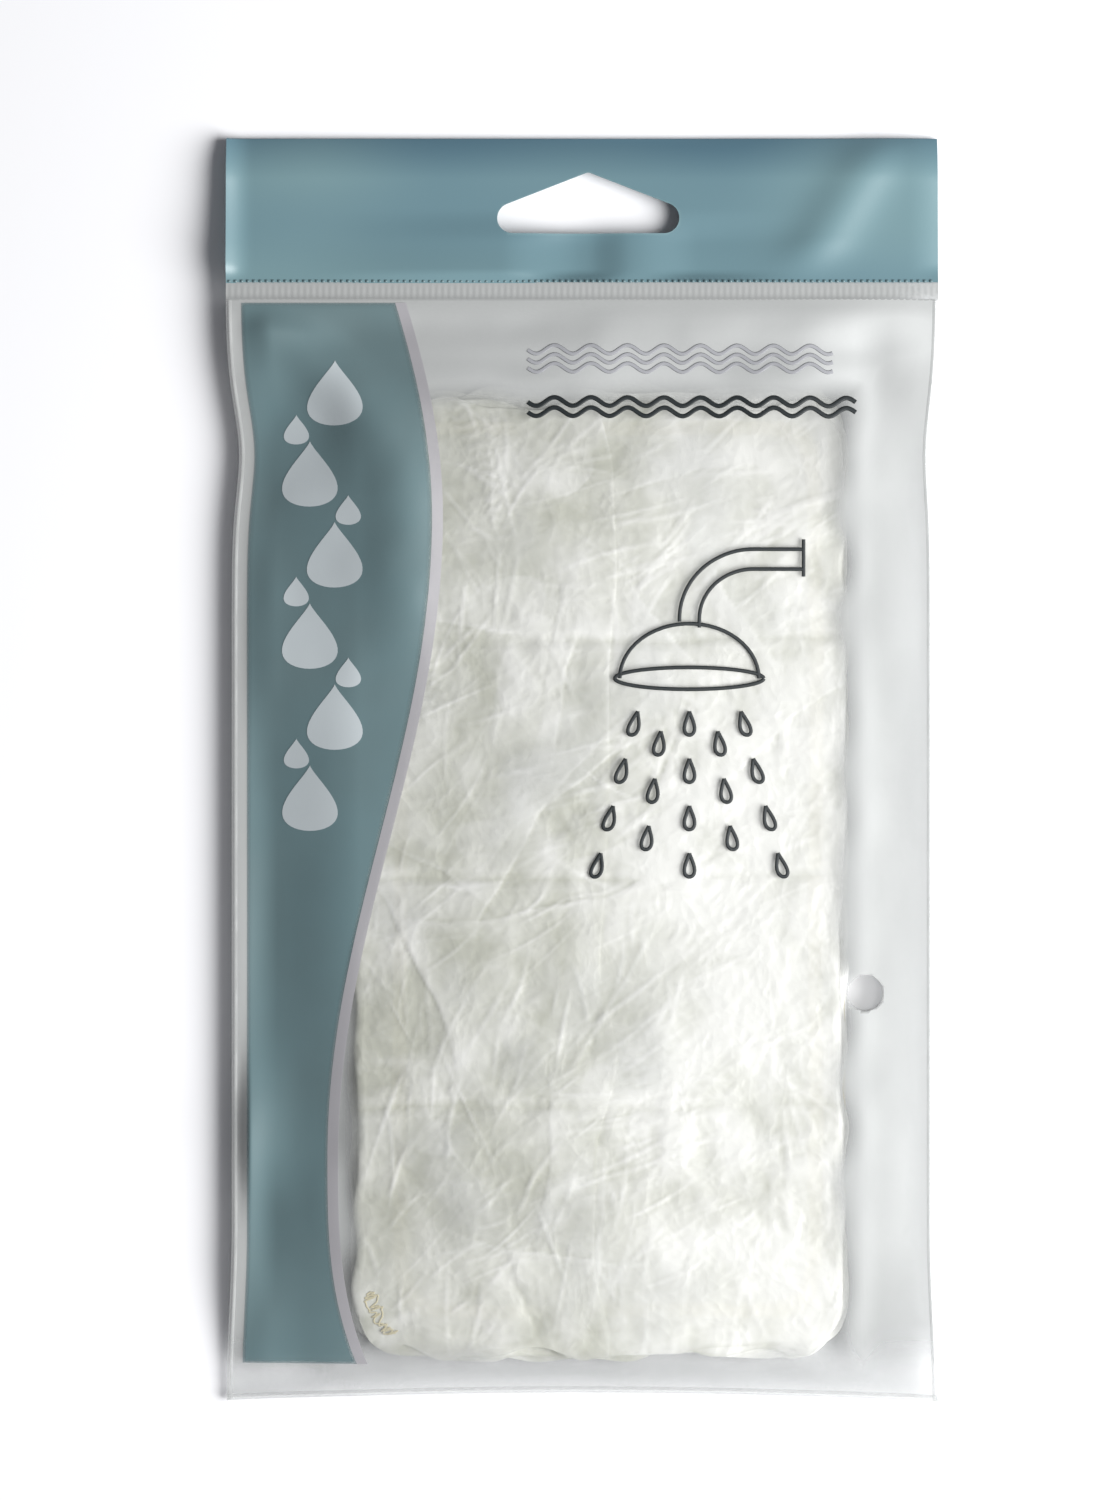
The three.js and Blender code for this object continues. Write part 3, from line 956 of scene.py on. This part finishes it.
class POUCH_OT_welds(bpy.types.Operator):
    """Melted beads along both sides and the bottom"""

    bl_idname = "pouch.welds"
    bl_label = "Welds"
    STEPS = 300
    ACROSS = 6
    BEAD_RISE = 0.12 * MM

    def bead(self, name, node_name, path):
        """A flat bead with a raised middle; path gives x and y for shares across and along."""
        piece, u, v = grid(name, self.ACROSS, self.STEPS)
        x, y = path(u, v)
        crown = self.BEAD_RISE * np.sin(math.pi * u) * (1 + 0.4 * noise(v * 90, u * 0, 61))
        lay(piece, x, y, RIM_TOP - rim_sag(x, y) + crown)
        edit_all(piece, bpy.ops.mesh.normals_make_consistent, inside=False)
        face_up(piece, 0)
        thicken(piece, RIM_TOP - RIM_BASE, -1)
        finish_piece(piece, welded_film(), "pouch", "weld", node_name)

    def execute(self, context):
        width = sizes().weld_width

        def left(u, v):
            y = POUCH_BOTTOM + (CRIMP_LOW[1] - POUCH_BOTTOM) * v
            return left_edge(y) + width * u, y

        def right(u, v):
            y = POUCH_BOTTOM + (CRIMP_LOW[1] - POUCH_BOTTOM) * v
            return right_edge(y) - width * (1 - u), y

        def bottom(u, v):
            x = HALF_WIDTH * (2 * v - 1)
            return x, bottom_edge(x) + 1.1 * width * u

        self.bead("left_weld_bead", "left_side_weld", left)
        self.bead("right_weld_bead", "right_side_weld", right)
        self.bead("bottom_weld_bead", "bottom_weld", bottom)
        return {"FINISHED"}


class POUCH_OT_crimp(bpy.types.Operator):
    """Ribbed heat seal under the header, with a row of small darker dots above it"""

    bl_idname = "pouch.crimp"
    bl_label = "Crimped seal"
    PER_RIB = 8
    ROWS = 8
    OVERLAP = 0.1 * MM
    MARK_WIDTH = 0.5 * MM
    MARK_HEIGHT = 0.45 * MM
    MARK_RISE = 0.15 * MM
    MARK_ABOVE_SEAL = 0.3 * MM

    def mark(self, place):
        """One small raised dot in the row above the seal."""
        piece, u, v = grid("mark", 4, 4)
        x = place + self.MARK_WIDTH * (u - 0.5)
        y = CRIMP_HIGH[1] + self.MARK_ABOVE_SEAL + self.MARK_HEIGHT * (v - 0.5)
        rise = self.MARK_RISE * np.sin(math.pi * u) * np.sin(math.pi * v)
        lay(piece, x, y, RIM_TOP + 0.02 * MM + rise)
        return piece

    def execute(self, context):
        s = sizes()
        ribs = int(2 * HALF_WIDTH / s.rib_pitch)
        piece, u, v = grid("crimped_seal_ribs", ribs * self.PER_RIB, self.ROWS)
        x = HALF_WIDTH * (2 * u - 1)
        y = CRIMP_LOW[1] - self.OVERLAP + (CRIMP_HIGH[1] - CRIMP_LOW[1] + 2 * self.OVERLAP) * v
        rib = 0.5 + 0.5 * np.cos(2 * math.pi * (x / s.rib_pitch))
        lay(piece, x, y, RIM_TOP + s.rib_height * rib * np.sin(math.pi * v))
        paint(piece, "cover", 0.45 + 0.3 * ease(v / 0.5))
        thicken(piece, RIM_TOP - RIM_BASE, -1)
        finish_piece(piece, sealed_film(), "pouch", "weld", "header_crimp_seal")

        marks = [self.mark(-HALF_WIDTH + (i + 0.5) * s.rib_pitch) for i in range(ribs)]
        row = join("seal_dot_row", marks)
        thicken(row, 0.04 * MM, 1)
        row.data.materials.append(seal_mark_ink())
        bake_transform(row)
        return {"FINISHED"}


class POUCH_OT_header(bpy.types.Operator):
    """Two plies of the teal header with the hang hole"""

    bl_idname = "pouch.header"
    bl_label = "Header"
    COLUMNS = 150
    ROWS = 40
    PLY = 0.2 * MM
    OVERLAP = 0.05 * MM
    SHADED_EDGE = 7 * MM

    def hole_cutter(self):
        """The three-cornered hole is the hull of its two round ends and its apex."""
        s = sizes()
        reach = s.hole_width / 2 - s.hole_end_radius
        base = CRIMP_HIGH[1] + s.hole_above_seal
        rounds = [
            (-reach, base + s.hole_end_radius, s.hole_end_radius),
            (reach, base + s.hole_end_radius, s.hole_end_radius),
            (0, base + s.hole_height - s.hole_apex_radius, s.hole_apex_radius),
        ]
        posts = [peg(radius, s.hole_offset + off, y) for off, y, radius in rounds]
        cutter = join("hang_hole_cutter", posts)
        edit_all(cutter, bpy.ops.mesh.convex_hull)
        return cutter

    def ply(self, name, base, offset):
        """One ply, with painted shade that darkens its ink towards its free edge."""
        piece, u, v = grid(name, self.COLUMNS, self.ROWS)
        x = HALF_WIDTH * (2 * u - 1)
        y = CRIMP_HIGH[1] - self.OVERLAP + (HEADER_HIGH[1] - CRIMP_HIGH[1]) * v
        lay(piece, x, y, base + header_wave(x, y))
        # Painted shade: darker teal over the band at the free edge, with random patches on top.
        to_edge = np.clip((y - HEADER_HIGH[1] + self.SHADED_EDGE) / self.SHADED_EDGE, 0, 1)
        paint(piece, "depth", np.clip(0.2 + 0.65 * to_edge + 0.35 * waves(x, y, 24, 12, 57), 0, 1))
        thicken(piece, self.PLY, offset)
        return piece

    def execute(self, context):
        cutter = self.hole_cutter()
        front = self.ply("header_front_soft", HEADER_HIGH[2], -1)
        back = self.ply("header_back_soft", HEADER_BACK_LOW[2], 1)
        for piece, name in ((front, "header_front_ply"), (back, "header_back_ply")):
            punch(piece, cutter)
            piece.data.materials.clear()
            piece.data.materials.append(teal_film())
            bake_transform(piece)
            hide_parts(name)
        remove(cutter)
        return {"FINISHED"}


class POUCH_OT_prints(bpy.types.Operator):
    """Inks on the front film: teal panel with its silver border, white drops and a line design"""

    bl_idname = "pouch.prints"
    bl_label = "Prints on the front film"
    CREST = (-26.2 * MM, 44.3 * MM)
    TROUGH = (-44.6 * MM, -68.0 * MM)
    TOP_HALF_WAVE = 92 * MM
    FOOT_FLARE = 5.1 * MM
    TOP = 81.9 * MM
    FOOT = -104.3 * MM
    INK = 0.02 * MM
    ABOVE = 0.05 * MM
    ROWS = 300

    def curved_edge(self, y):
        """The panel's right edge: one long wave that flares out again at the foot."""
        middle = (self.CREST[0] + self.TROUGH[0]) / 2
        swing = (self.CREST[0] - self.TROUGH[0]) / 2
        half_wave = np.where(y > self.CREST[1], self.TOP_HALF_WAVE, self.CREST[1] - self.TROUGH[1])
        wave = middle + swing * np.cos(math.pi * (self.CREST[1] - y) / half_wave)
        down = np.clip((self.TROUGH[1] - y) / (self.TROUGH[1] - self.FOOT), 0, None)
        return np.where(y > self.TROUGH[1], wave, self.TROUGH[0] + self.FOOT_FLARE * down ** 3)

    def surface(self, x, y):
        """Height at which ink lies on the front film."""
        return front_height(x, y) + self.ABOVE

    def band(self, name, left, right, columns):
        """An area of ink between two edges, thinner along its outline."""
        piece, u, v = grid(name, columns, self.ROWS)
        tall = self.TOP - self.FOOT
        y = self.FOOT + tall * v
        wide = right(y) - left(y)
        x = left(y) + wide * u
        lay(piece, x, y, self.surface(x, y))
        from_edge = np.minimum(np.minimum(u, 1 - u) * wide, np.minimum(v, 1 - v) * tall)
        paint(piece, "cover", 0.25 + 0.53 * past(from_edge, 0.8))
        thicken(piece, self.INK, -1)
        return piece

    def white_drops(self):
        """A column of falling drops, large and small in turn."""
        column, large, small = -45.5 * MM, 11.5 * MM, 5.2 * MM

        def on_panel(x, y):
            return self.surface(x, y) + self.ABOVE

        drops = []
        for i in range(6):
            side = (-1) ** i * MM
            y = (66 - 14.2 * i) * MM
            drops.append(drop(column + 2.2 * side, y, large, on_panel))
            if i < 5:
                drops.append(drop(column - 4.6 * side, y - 6.4 * MM, small, on_panel))
        piece = join("white_drops", drops)
        thicken(piece, self.INK, -1)
        return piece

    def line_design(self):
        """A shower rose on its bent pipe, with drops fanning out below it, in millimetres."""
        middle = np.array([20.5, 5.5])
        shrink = 0.87
        axis = -2
        turn = np.linspace(0, 2 * math.pi, 30)
        drop_x = 1.5 * drop_width(turn)
        drop_y = 2.4 * np.cos(turn)

        def arc(x, y, radius_x, radius_y, start, stop, steps=28):
            turn = np.radians(np.linspace(start, stop, steps))
            return np.stack([x + radius_x * np.cos(turn), y + radius_y * np.sin(turn)], axis=1)

        lines = [arc(axis, 12, 14, 11, 0, 180), arc(axis, 12, 15, 2.2, 0, 360, 48)]
        for inner in (0, 4):
            radius = 11 + inner
            pipe = arc(11, 24, radius, radius - 1, 180, 90)
            foot = [11 - radius, 22.2 + 0.3 * inner]
            lines.append(np.concatenate([[foot], pipe, [[21, 24 + radius - 1]]]))
        lines.append(np.array([[21, 32.5], [21, 40.0]]))
        for stream in range(5):
            off = stream - 2
            lean = 0.13 * off
            for step in range(4 - abs(off) % 2):
                along = 7 + 9.5 * step + 4 * (stream % 2)
                x = axis + 4.6 * off + lean * along
                y = 10 - along
                lines.append(np.stack([x + drop_x - lean * drop_y, y + drop_y], axis=1))
        return inked("shower_rose_lines", [shrink * line + middle for line in lines], 0.65, self.surface)

    def water(self, name, heights, width, start, stop):
        """Water waves, one line at each of the given heights, in millimetres."""
        x = np.linspace(start, stop, 200)
        lines = [np.stack([x, y + 0.75 * np.sin(2 * math.pi * x / 6.4)], axis=1) for y in heights]
        return inked(name, lines, width, self.surface)

    def execute(self, context):
        s = sizes()
        panel = self.band("teal_side_panel", lambda y: left_edge(y) + s.panel_margin, self.curved_edge, 64)
        border = self.band(
            "silver_panel_border", self.curved_edge, lambda y: self.curved_edge(y) + s.panel_border, 6
        )
        drops = self.white_drops()
        design = self.line_design()
        silver_wave = self.water("silver_waves", (70.4, 72.0, 73.6), 0.7, -9.5, 44)
        dark_wave = self.water("dark_waves", (62.6, 64.4), 0.8, -9.5, 48)
        for piece, ink in (
            (panel, teal_panel_ink()), (border, silver_ink()), (drops, white_ink()),
            (design, dark_ink()), (silver_wave, faint_ink()), (dark_wave, dark_ink()),
        ):
            finish_piece(piece, ink, "pouch", "header_film")
        return {"FINISHED"}


class POUCH_OT_caps(bpy.types.Operator):
    """Four folded caps of thin crumpled film, side flaps folded over the middle"""

    bl_idname = "pouch.caps"
    bl_label = "Folded caps"
    PINCHES = 420
    OVERLAPS = 24
    GATHERS = 4
    PALE_DROPS = 20
    CREASES_ACROSS = (22.7 * MM, -19.0 * MM, -58.9 * MM)
    RELIEF_LIMIT = 0.45 * MM
    LEAST_OPENING = 0.4 * MM
    FOLD_RADIUS = 1.6 * MM
    SHEET = 0.04 * MM

    def creases(self, cap, x, y, seed):
        """The fine creases of a cap's film, and where it lies double along the edges of its folds."""
        low, high = (corner[:2] for corner in corners(f"{cap}_film"))
        pinched = pinches(x, y, low, high, self.PINCHES, seed + 1)
        return pinched, overlaps(x, y, low, high, self.OVERLAPS, seed + 2)

    def relief(self, cap, x, y, seed):
        """Height of the crumpled upper film about its mean plane."""
        low, high = (corner[:2] for corner in corners(f"{cap}_film"))
        pinched, double = self.creases(cap, x, y, seed)
        patchy = 0.6 + 0.4 * waves(x, y, 13, 16, seed + 5)
        bundled = 0.5 + 0.5 * waves(x, y, 9, 9, seed + 51)
        height = sizes().crumple_depth * patchy * crumple(x, y, seed)
        height = height + 0.07 * MM * bundled * veins(x, y, 6 * MM, sharp=7, turn=1.0, seed=seed + 50)
        height = height + 0.04 * MM * veins(x, y, 3.2 * MM, sharp=6, turn=0.4, seed=seed + 60)
        height = height + 0.15 * MM * pinched + 0.28 * MM * double
        height = height + 0.1 * MM * gathers(x, y, low, high, self.GATHERS, seed + 4)
        for place in self.CREASES_ACROSS:
            off = y - place - 1.2 * MM * wander(x, 14, seed + 9)
            height = height - 0.35 * MM * np.clip(1 - np.abs(off) / (1.6 * MM), 0, 1)
        return self.RELIEF_LIMIT * np.tanh(height / self.RELIEF_LIMIT)

    def leaves(self, cap, x, y, seed):
        """Heights of a cap's lower and upper film in the settled stack, and the relief of the upper one."""
        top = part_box(f"{cap}_film")[1][2]
        relief = self.relief(cap, x, y, seed)
        lower = lower_film(cap, x, y) + 0.05 * MM * crumple(x, y, seed + 31)
        if cap == TOP_CAP:
            upper = crowned(x, y, top + 0.1 * MM + relief)
        else:
            upper = crowned(x, y, top - 0.6 * MM + 0.25 * relief)
        return lower, np.maximum(upper, lower + self.LEAST_OPENING), relief

    def folded(self, name, cap, stretches, rows, seed):
        """Part of a folded cap; stretches gives the stretches of its section with their columns."""
        s = sizes()
        low, high = corners(f"{cap}_film")
        low[:2] = np.minimum(low[:2], corners("cap_2_film")[0][:2] + 0.8 * MM)
        high[0] = min(high[0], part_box("cap_4_film")[1][0] + 0.5 * MM)
        middle = (low + high) / 2
        half = (high - low) / 2
        kinds = np.concatenate([[kind] * (count + 1) for kind, count in stretches])
        shares = np.concatenate([np.linspace(0, 1, count + 1) for kind, count in stretches])
        piece, u, v = grid(name, len(kinds) - 1, rows)
        column = np.rint(u * (len(kinds) - 1)).astype(int)
        share = shares[column]
        stretch = [kinds[column] == kind for kind in ("right_flap", "right_fold", "leaf", "left_fold")]
        turn = math.pi * share
        fold = self.FOLD_RADIUS / half[0]
        y = middle[1] + half[1] * (2 * v - 1)
        meet = -0.03 + 0.05 * wander(y, 17, seed + 3)
        across = np.select(
            stretch,
            [
                meet - 0.1 + (1 - fold - meet + 0.1) * share,
                1 - fold + fold * np.sin(turn),
                (1 - fold) * (1 - 2 * share),
                -1 + fold - fold * np.sin(turn),
            ],
            -1 + fold + (meet + 0.06 + 1 - fold) * share,
        )
        level = np.select(
            stretch, [0.85, 0.425 + 0.425 * np.cos(turn), 0.0, 0.5 - 0.5 * np.cos(turn)], 1.0
        )
        from_end = half[1] - np.abs(y - middle[1])
        in_corner = np.clip(s.cap_corner - from_end, 0, s.cap_corner)
        inset = s.cap_corner - np.sqrt(s.cap_corner ** 2 - in_corner ** 2)
        ragged = 0.7 * MM * (1 + noise(y / (7 * MM), across, seed + 7))
        x = middle[0] + (half[0] - 0.8 * inset - ragged) * across
        tuck = 1.6 * MM * (1 + noise(x / (8 * MM), level * 3, seed + 8)) * ease(1 - from_end / (12 * MM))
        y = y - np.sign(y - middle[1]) * tuck
        lower, upper, relief = self.leaves(cap, x, y, seed)
        closing = 0.55 + 0.45 * past(from_end, 7)
        lay(piece, x, y, lower + (upper - lower) * level * closing)
        # The crease attribute mixes painted light and shade with the whiter creases and the faint printed
        # drops.
        crease = self.shade_and_crease_tone(cap, x, y, relief, (rows + 1, len(kinds)), seed)
        printed = self.pale_drops(x, y, low, high, seed) if cap == TOP_CAP else 0
        paint(piece, "crease", np.clip(crease + (0.9 - crease) * printed, 0, 1))
        thicken(piece, self.SHEET, -1)
        return piece

    def shade_and_crease_tone(self, cap, x, y, relief, shape, seed):
        """How white the film looks, 0 to 1: painted light and shade on ridges and hollows, painted light on
        raised film, the right side and the bottom; whiter in streaks, pinches and where it lies double.
        """
        field = relief.reshape(shape)
        around = sum(np.roll(field, step, axis) for step in (-2, -1, 1, 2) for axis in (0, 1)) / 8
        # Painted highlight and shade: ridges lighter and hollows darker than the film around them.
        ridge = (field - around).ravel() / (0.09 * MM)
        streaks = noise(*bent(x, y, 5 * MM, turn=0.9, stretch=5, warp=0.5, seed=seed + 70), seed + 71)
        # Painted light: lighter towards the lit right side and towards the bottom.
        painted_light_and_double = 0.42 * past(x - 2 * MM, 16) + 0.2 * past(-60 * MM - y, 30)
        pinched, double = self.creases(cap, x, y, seed)
        painted_light_and_double = painted_light_and_double + 0.32 * np.clip(double, 0, 1) + 0.2 * np.clip(pinched, 0, 1) - 0.1
        # Raised film is painted lighter as well: the higher the relief, the lighter.
        return np.clip(0.42 + 0.3 * ridge + 0.3 * relief / MM + 0.2 * streaks + painted_light_and_double, 0, 1)

    def pale_drops(self, x, y, low, high, seed):
        """Cover of the faint drops printed on a cap: scattered and leaning, each with a paler outline."""
        margin = 8 * MM
        draw = np.random.default_rng(seed)
        cover = np.zeros_like(x)
        for _ in range(self.PALE_DROPS):
            middle = draw.uniform(low[:2] + margin, high[:2] - margin)
            lean = draw.uniform(0, 2 * math.pi)
            half = draw.uniform(3.5, 6.5) * MM
            along, across = (part / half for part in turned(x, y, middle, lean))
            outline = 1.24 * drop_width(np.arccos(np.clip(along, -1, 1)))
            depth = np.where(np.abs(along) < 1, outline - np.abs(across), -1) * half
            outlined = np.clip(1 - np.abs(depth) / (0.35 * MM), 0, 1)
            cover = np.maximum(cover, 0.55 * past(depth, 0.4) + 0.45 * outlined)
        return cover

    def hem_corner(self, cap, seed):
        """The end of the gathered hem that shows at a cap's lower left corner, in millimetres."""
        strands, zigzags = 2, 6
        along = np.linspace(0, 1, 120)
        lines = []
        for strand in range(strands):
            sway = noise(along * 9, along * 0 + strand, seed)
            zigzag = np.sin(2 * math.pi * (zigzags * along + 0.5 * sway + 0.2 * strand))
            x = -37.2 + 3.8 * along ** 2 + (0.75 + 0.4 * sway) * zigzag + 0.5 * strand
            y = -91.8 - 7.5 * along + 0.35 * zigzag + 0.6 * sway
            lines.append(np.stack([x, y], axis=1))

        def on_cap(x, y):
            return self.leaves(cap, x, y, seed)[1] + 0.08 * MM

        return inked(f"{cap}_hem_corner", lines, 0.3, on_cap)

    def execute(self, context):
        outer = cap_film("crumpled_cap_film", 0.6)
        inner = cap_film("crumpled_cap_film_in_the_stack", 1.0)
        for number, cap in enumerate(CAPS):
            seed = 100 + 40 * number
            name = f"{cap}_crumpled_film"
            if cap == TOP_CAP:
                under = [("right_flap", 88), ("right_fold", 8), ("leaf", 24)]
                over = [("left_fold", 8), ("left_flap", 108)]
                piece = self.folded(name, cap, under, 405, seed)
                flap = self.folded(f"{cap}_left_flap", cap, over, 415, seed)
                finish_piece(flap, outer, cap, "cap_film")
                finish_piece(self.hem_corner(cap, seed), gathered_film(), cap, "elastic")
            else:
                around = [
                    ("right_flap", 60), ("right_fold", 6), ("leaf", 40), ("left_fold", 6), ("left_flap", 72)
                ]
                piece = self.folded(name, cap, around, 240, seed)
            film = outer if cap in (CAPS[0], TOP_CAP) else inner
            finish_piece(piece, film, cap, "cap_film", f"{cap}_film")
        return {"FINISHED"}


class POUCH_OT_elastics(bpy.types.Operator):
    """Gathered elastic hems between the leaves of each cap"""

    bl_idname = "pouch.elastics"
    bl_label = "Elastic hems"
    STEPS = 900
    GATHERS = 210
    GATHER_DEPTH = 0.3 * MM
    HEM_WIDTH = 2.4 * MM
    INSIDE_EDGE = 0.4 * MM
    ABOVE_FILM = 0.13 * MM
    BAND = 0.1 * MM
    SQUARENESS = 0.12

    def execute(self, context):
        for number, cap in enumerate(CAPS):
            low, high = corners(f"{cap}_elastic")
            middle = (low + high) / 2
            half = (high - low) / 2
            piece, u, v = grid(f"{cap}_gathered_hem", 6, self.STEPS)
            turn = 2 * math.pi * v
            cos, sin = (
                np.sign(part) * np.abs(part) ** self.SQUARENESS for part in (np.cos(turn), np.sin(turn))
            )
            sway = 3 * noise(v * 60, v * 0, 71 + number)
            gather = self.GATHER_DEPTH * np.sin(turn * self.GATHERS + sway)
            reach = half - (self.INSIDE_EDGE + self.HEM_WIDTH * u)[:, None]
            x = middle[0] + (reach[:, 0] + gather) * cos
            y = middle[1] + (reach[:, 1] + gather) * sin
            lay(piece, x, y, lower_film(cap, x, y) + self.ABOVE_FILM + 0.1 * gather * np.sin(math.pi * u))
            edit_all(piece, bpy.ops.mesh.remove_doubles, threshold=MERGE_DISTANCE)
            thicken(piece, self.BAND, 0)
            finish_piece(piece, elastic_thread(), cap, "elastic", f"{cap}_elastic")
        return {"FINISHED"}


class POUCH_OT_stage(bpy.types.Operator):
    """Pale floor, soft light from the right and the camera straight above"""

    bl_idname = "pouch.stage"
    bl_label = "Floor, light and camera"
    IMAGE_HEIGHT = 1500
    PIXELS_PER_MM = 5.696
    VIEW_MIDDLE = (-4.48 * MM, 3.42 * MM)
    CAMERA_HEIGHT = 1.2
    FLOOR_SIZE = 4
    FLOOR_BELOW = 0.15 * MM
    ROOM_LIGHT = 0.16
    WINDOW_PLACE = (0.669, -0.167, 0.579)
    WINDOW_SIZE = 0.8
    WINDOW_POWER = 16.6

    def execute(self, context):
        scene = context.scene
        deselect()
        bpy.ops.mesh.primitive_plane_add(size=self.FLOOR_SIZE, location=(0, 0, -self.FLOOR_BELOW))
        floor = context.active_object
        floor.name = "floor"
        floor.data.materials.append(pale_floor())
        bpy.ops.object.transform_apply(location=True, rotation=True, scale=True)

        world = bpy.data.worlds.new("soft_room")
        world.use_nodes = True
        background = world.node_tree.nodes["Background"].inputs
        background["Color"].default_value = (*linear("#F6F8FF"), 1)
        background["Strength"].default_value = self.ROOM_LIGHT
        scene.world = world

        light = bpy.data.lights.new("window", "AREA")
        light.shape = "DISK"
        light.size = self.WINDOW_SIZE
        light.energy = self.WINDOW_POWER
        lamp = bpy.data.objects.new("window", light)
        scene.collection.objects.link(lamp)
        lamp.location = self.WINDOW_PLACE
        lamp.rotation_euler = (-lamp.location).to_track_quat("-Z", "Y").to_euler()

        camera = bpy.data.cameras.new("camera")
        camera.sensor_width = 36
        half_height = self.IMAGE_HEIGHT / self.PIXELS_PER_MM / 2 * MM
        camera.lens = camera.sensor_width / 2 * self.CAMERA_HEIGHT / half_height
        camera.clip_end = 20
        eye = bpy.data.objects.new("camera", camera)
        eye.location = (*self.VIEW_MIDDLE, RIM_BASE + self.CAMERA_HEIGHT)
        scene.collection.objects.link(eye)
        scene.camera = eye
        scene.view_settings.view_transform = "Standard"
        scene.cycles.transparent_max_bounces = 48
        return {"FINISHED"}


class POUCH_PT_sidebar(bpy.types.Panel):
    """Lists the steps that dress the pouch"""

    bl_idname = "POUCH_PT_sidebar"
    bl_label = "Pouch of shower caps"
    bl_space_type = "VIEW_3D"
    bl_region_type = "UI"
    bl_category = "Pouch"

    def draw(self, context):
        for operator in OPERATORS:
            self.layout.operator(operator.bl_idname)


OPERATORS = (
    POUCH_OT_stage,
    POUCH_OT_films,
    POUCH_OT_welds,
    POUCH_OT_crimp,
    POUCH_OT_header,
    POUCH_OT_prints,
    POUCH_OT_caps,
    POUCH_OT_elastics,
)
CLASSES = (PouchSizes, PouchColours, *OPERATORS, POUCH_PT_sidebar)


def register():
    for each in CLASSES:
        bpy.utils.register_class(each)
    bpy.types.Scene.pouch_sizes = PointerProperty(type=PouchSizes)
    bpy.types.Scene.pouch_colours = PointerProperty(type=PouchColours)


def unregister():
    del bpy.types.Scene.pouch_colours
    del bpy.types.Scene.pouch_sizes
    for each in reversed(CLASSES):
        bpy.utils.unregister_class(each)


def main():
    register()
    bpy.ops.pouch.stage()
    bpy.ops.pouch.films()
    bpy.ops.pouch.welds()
    bpy.ops.pouch.crimp()
    bpy.ops.pouch.header()
    bpy.ops.pouch.prints()
    bpy.ops.pouch.caps()
    bpy.ops.pouch.elastics()


if __name__ == "__main__":
    main()
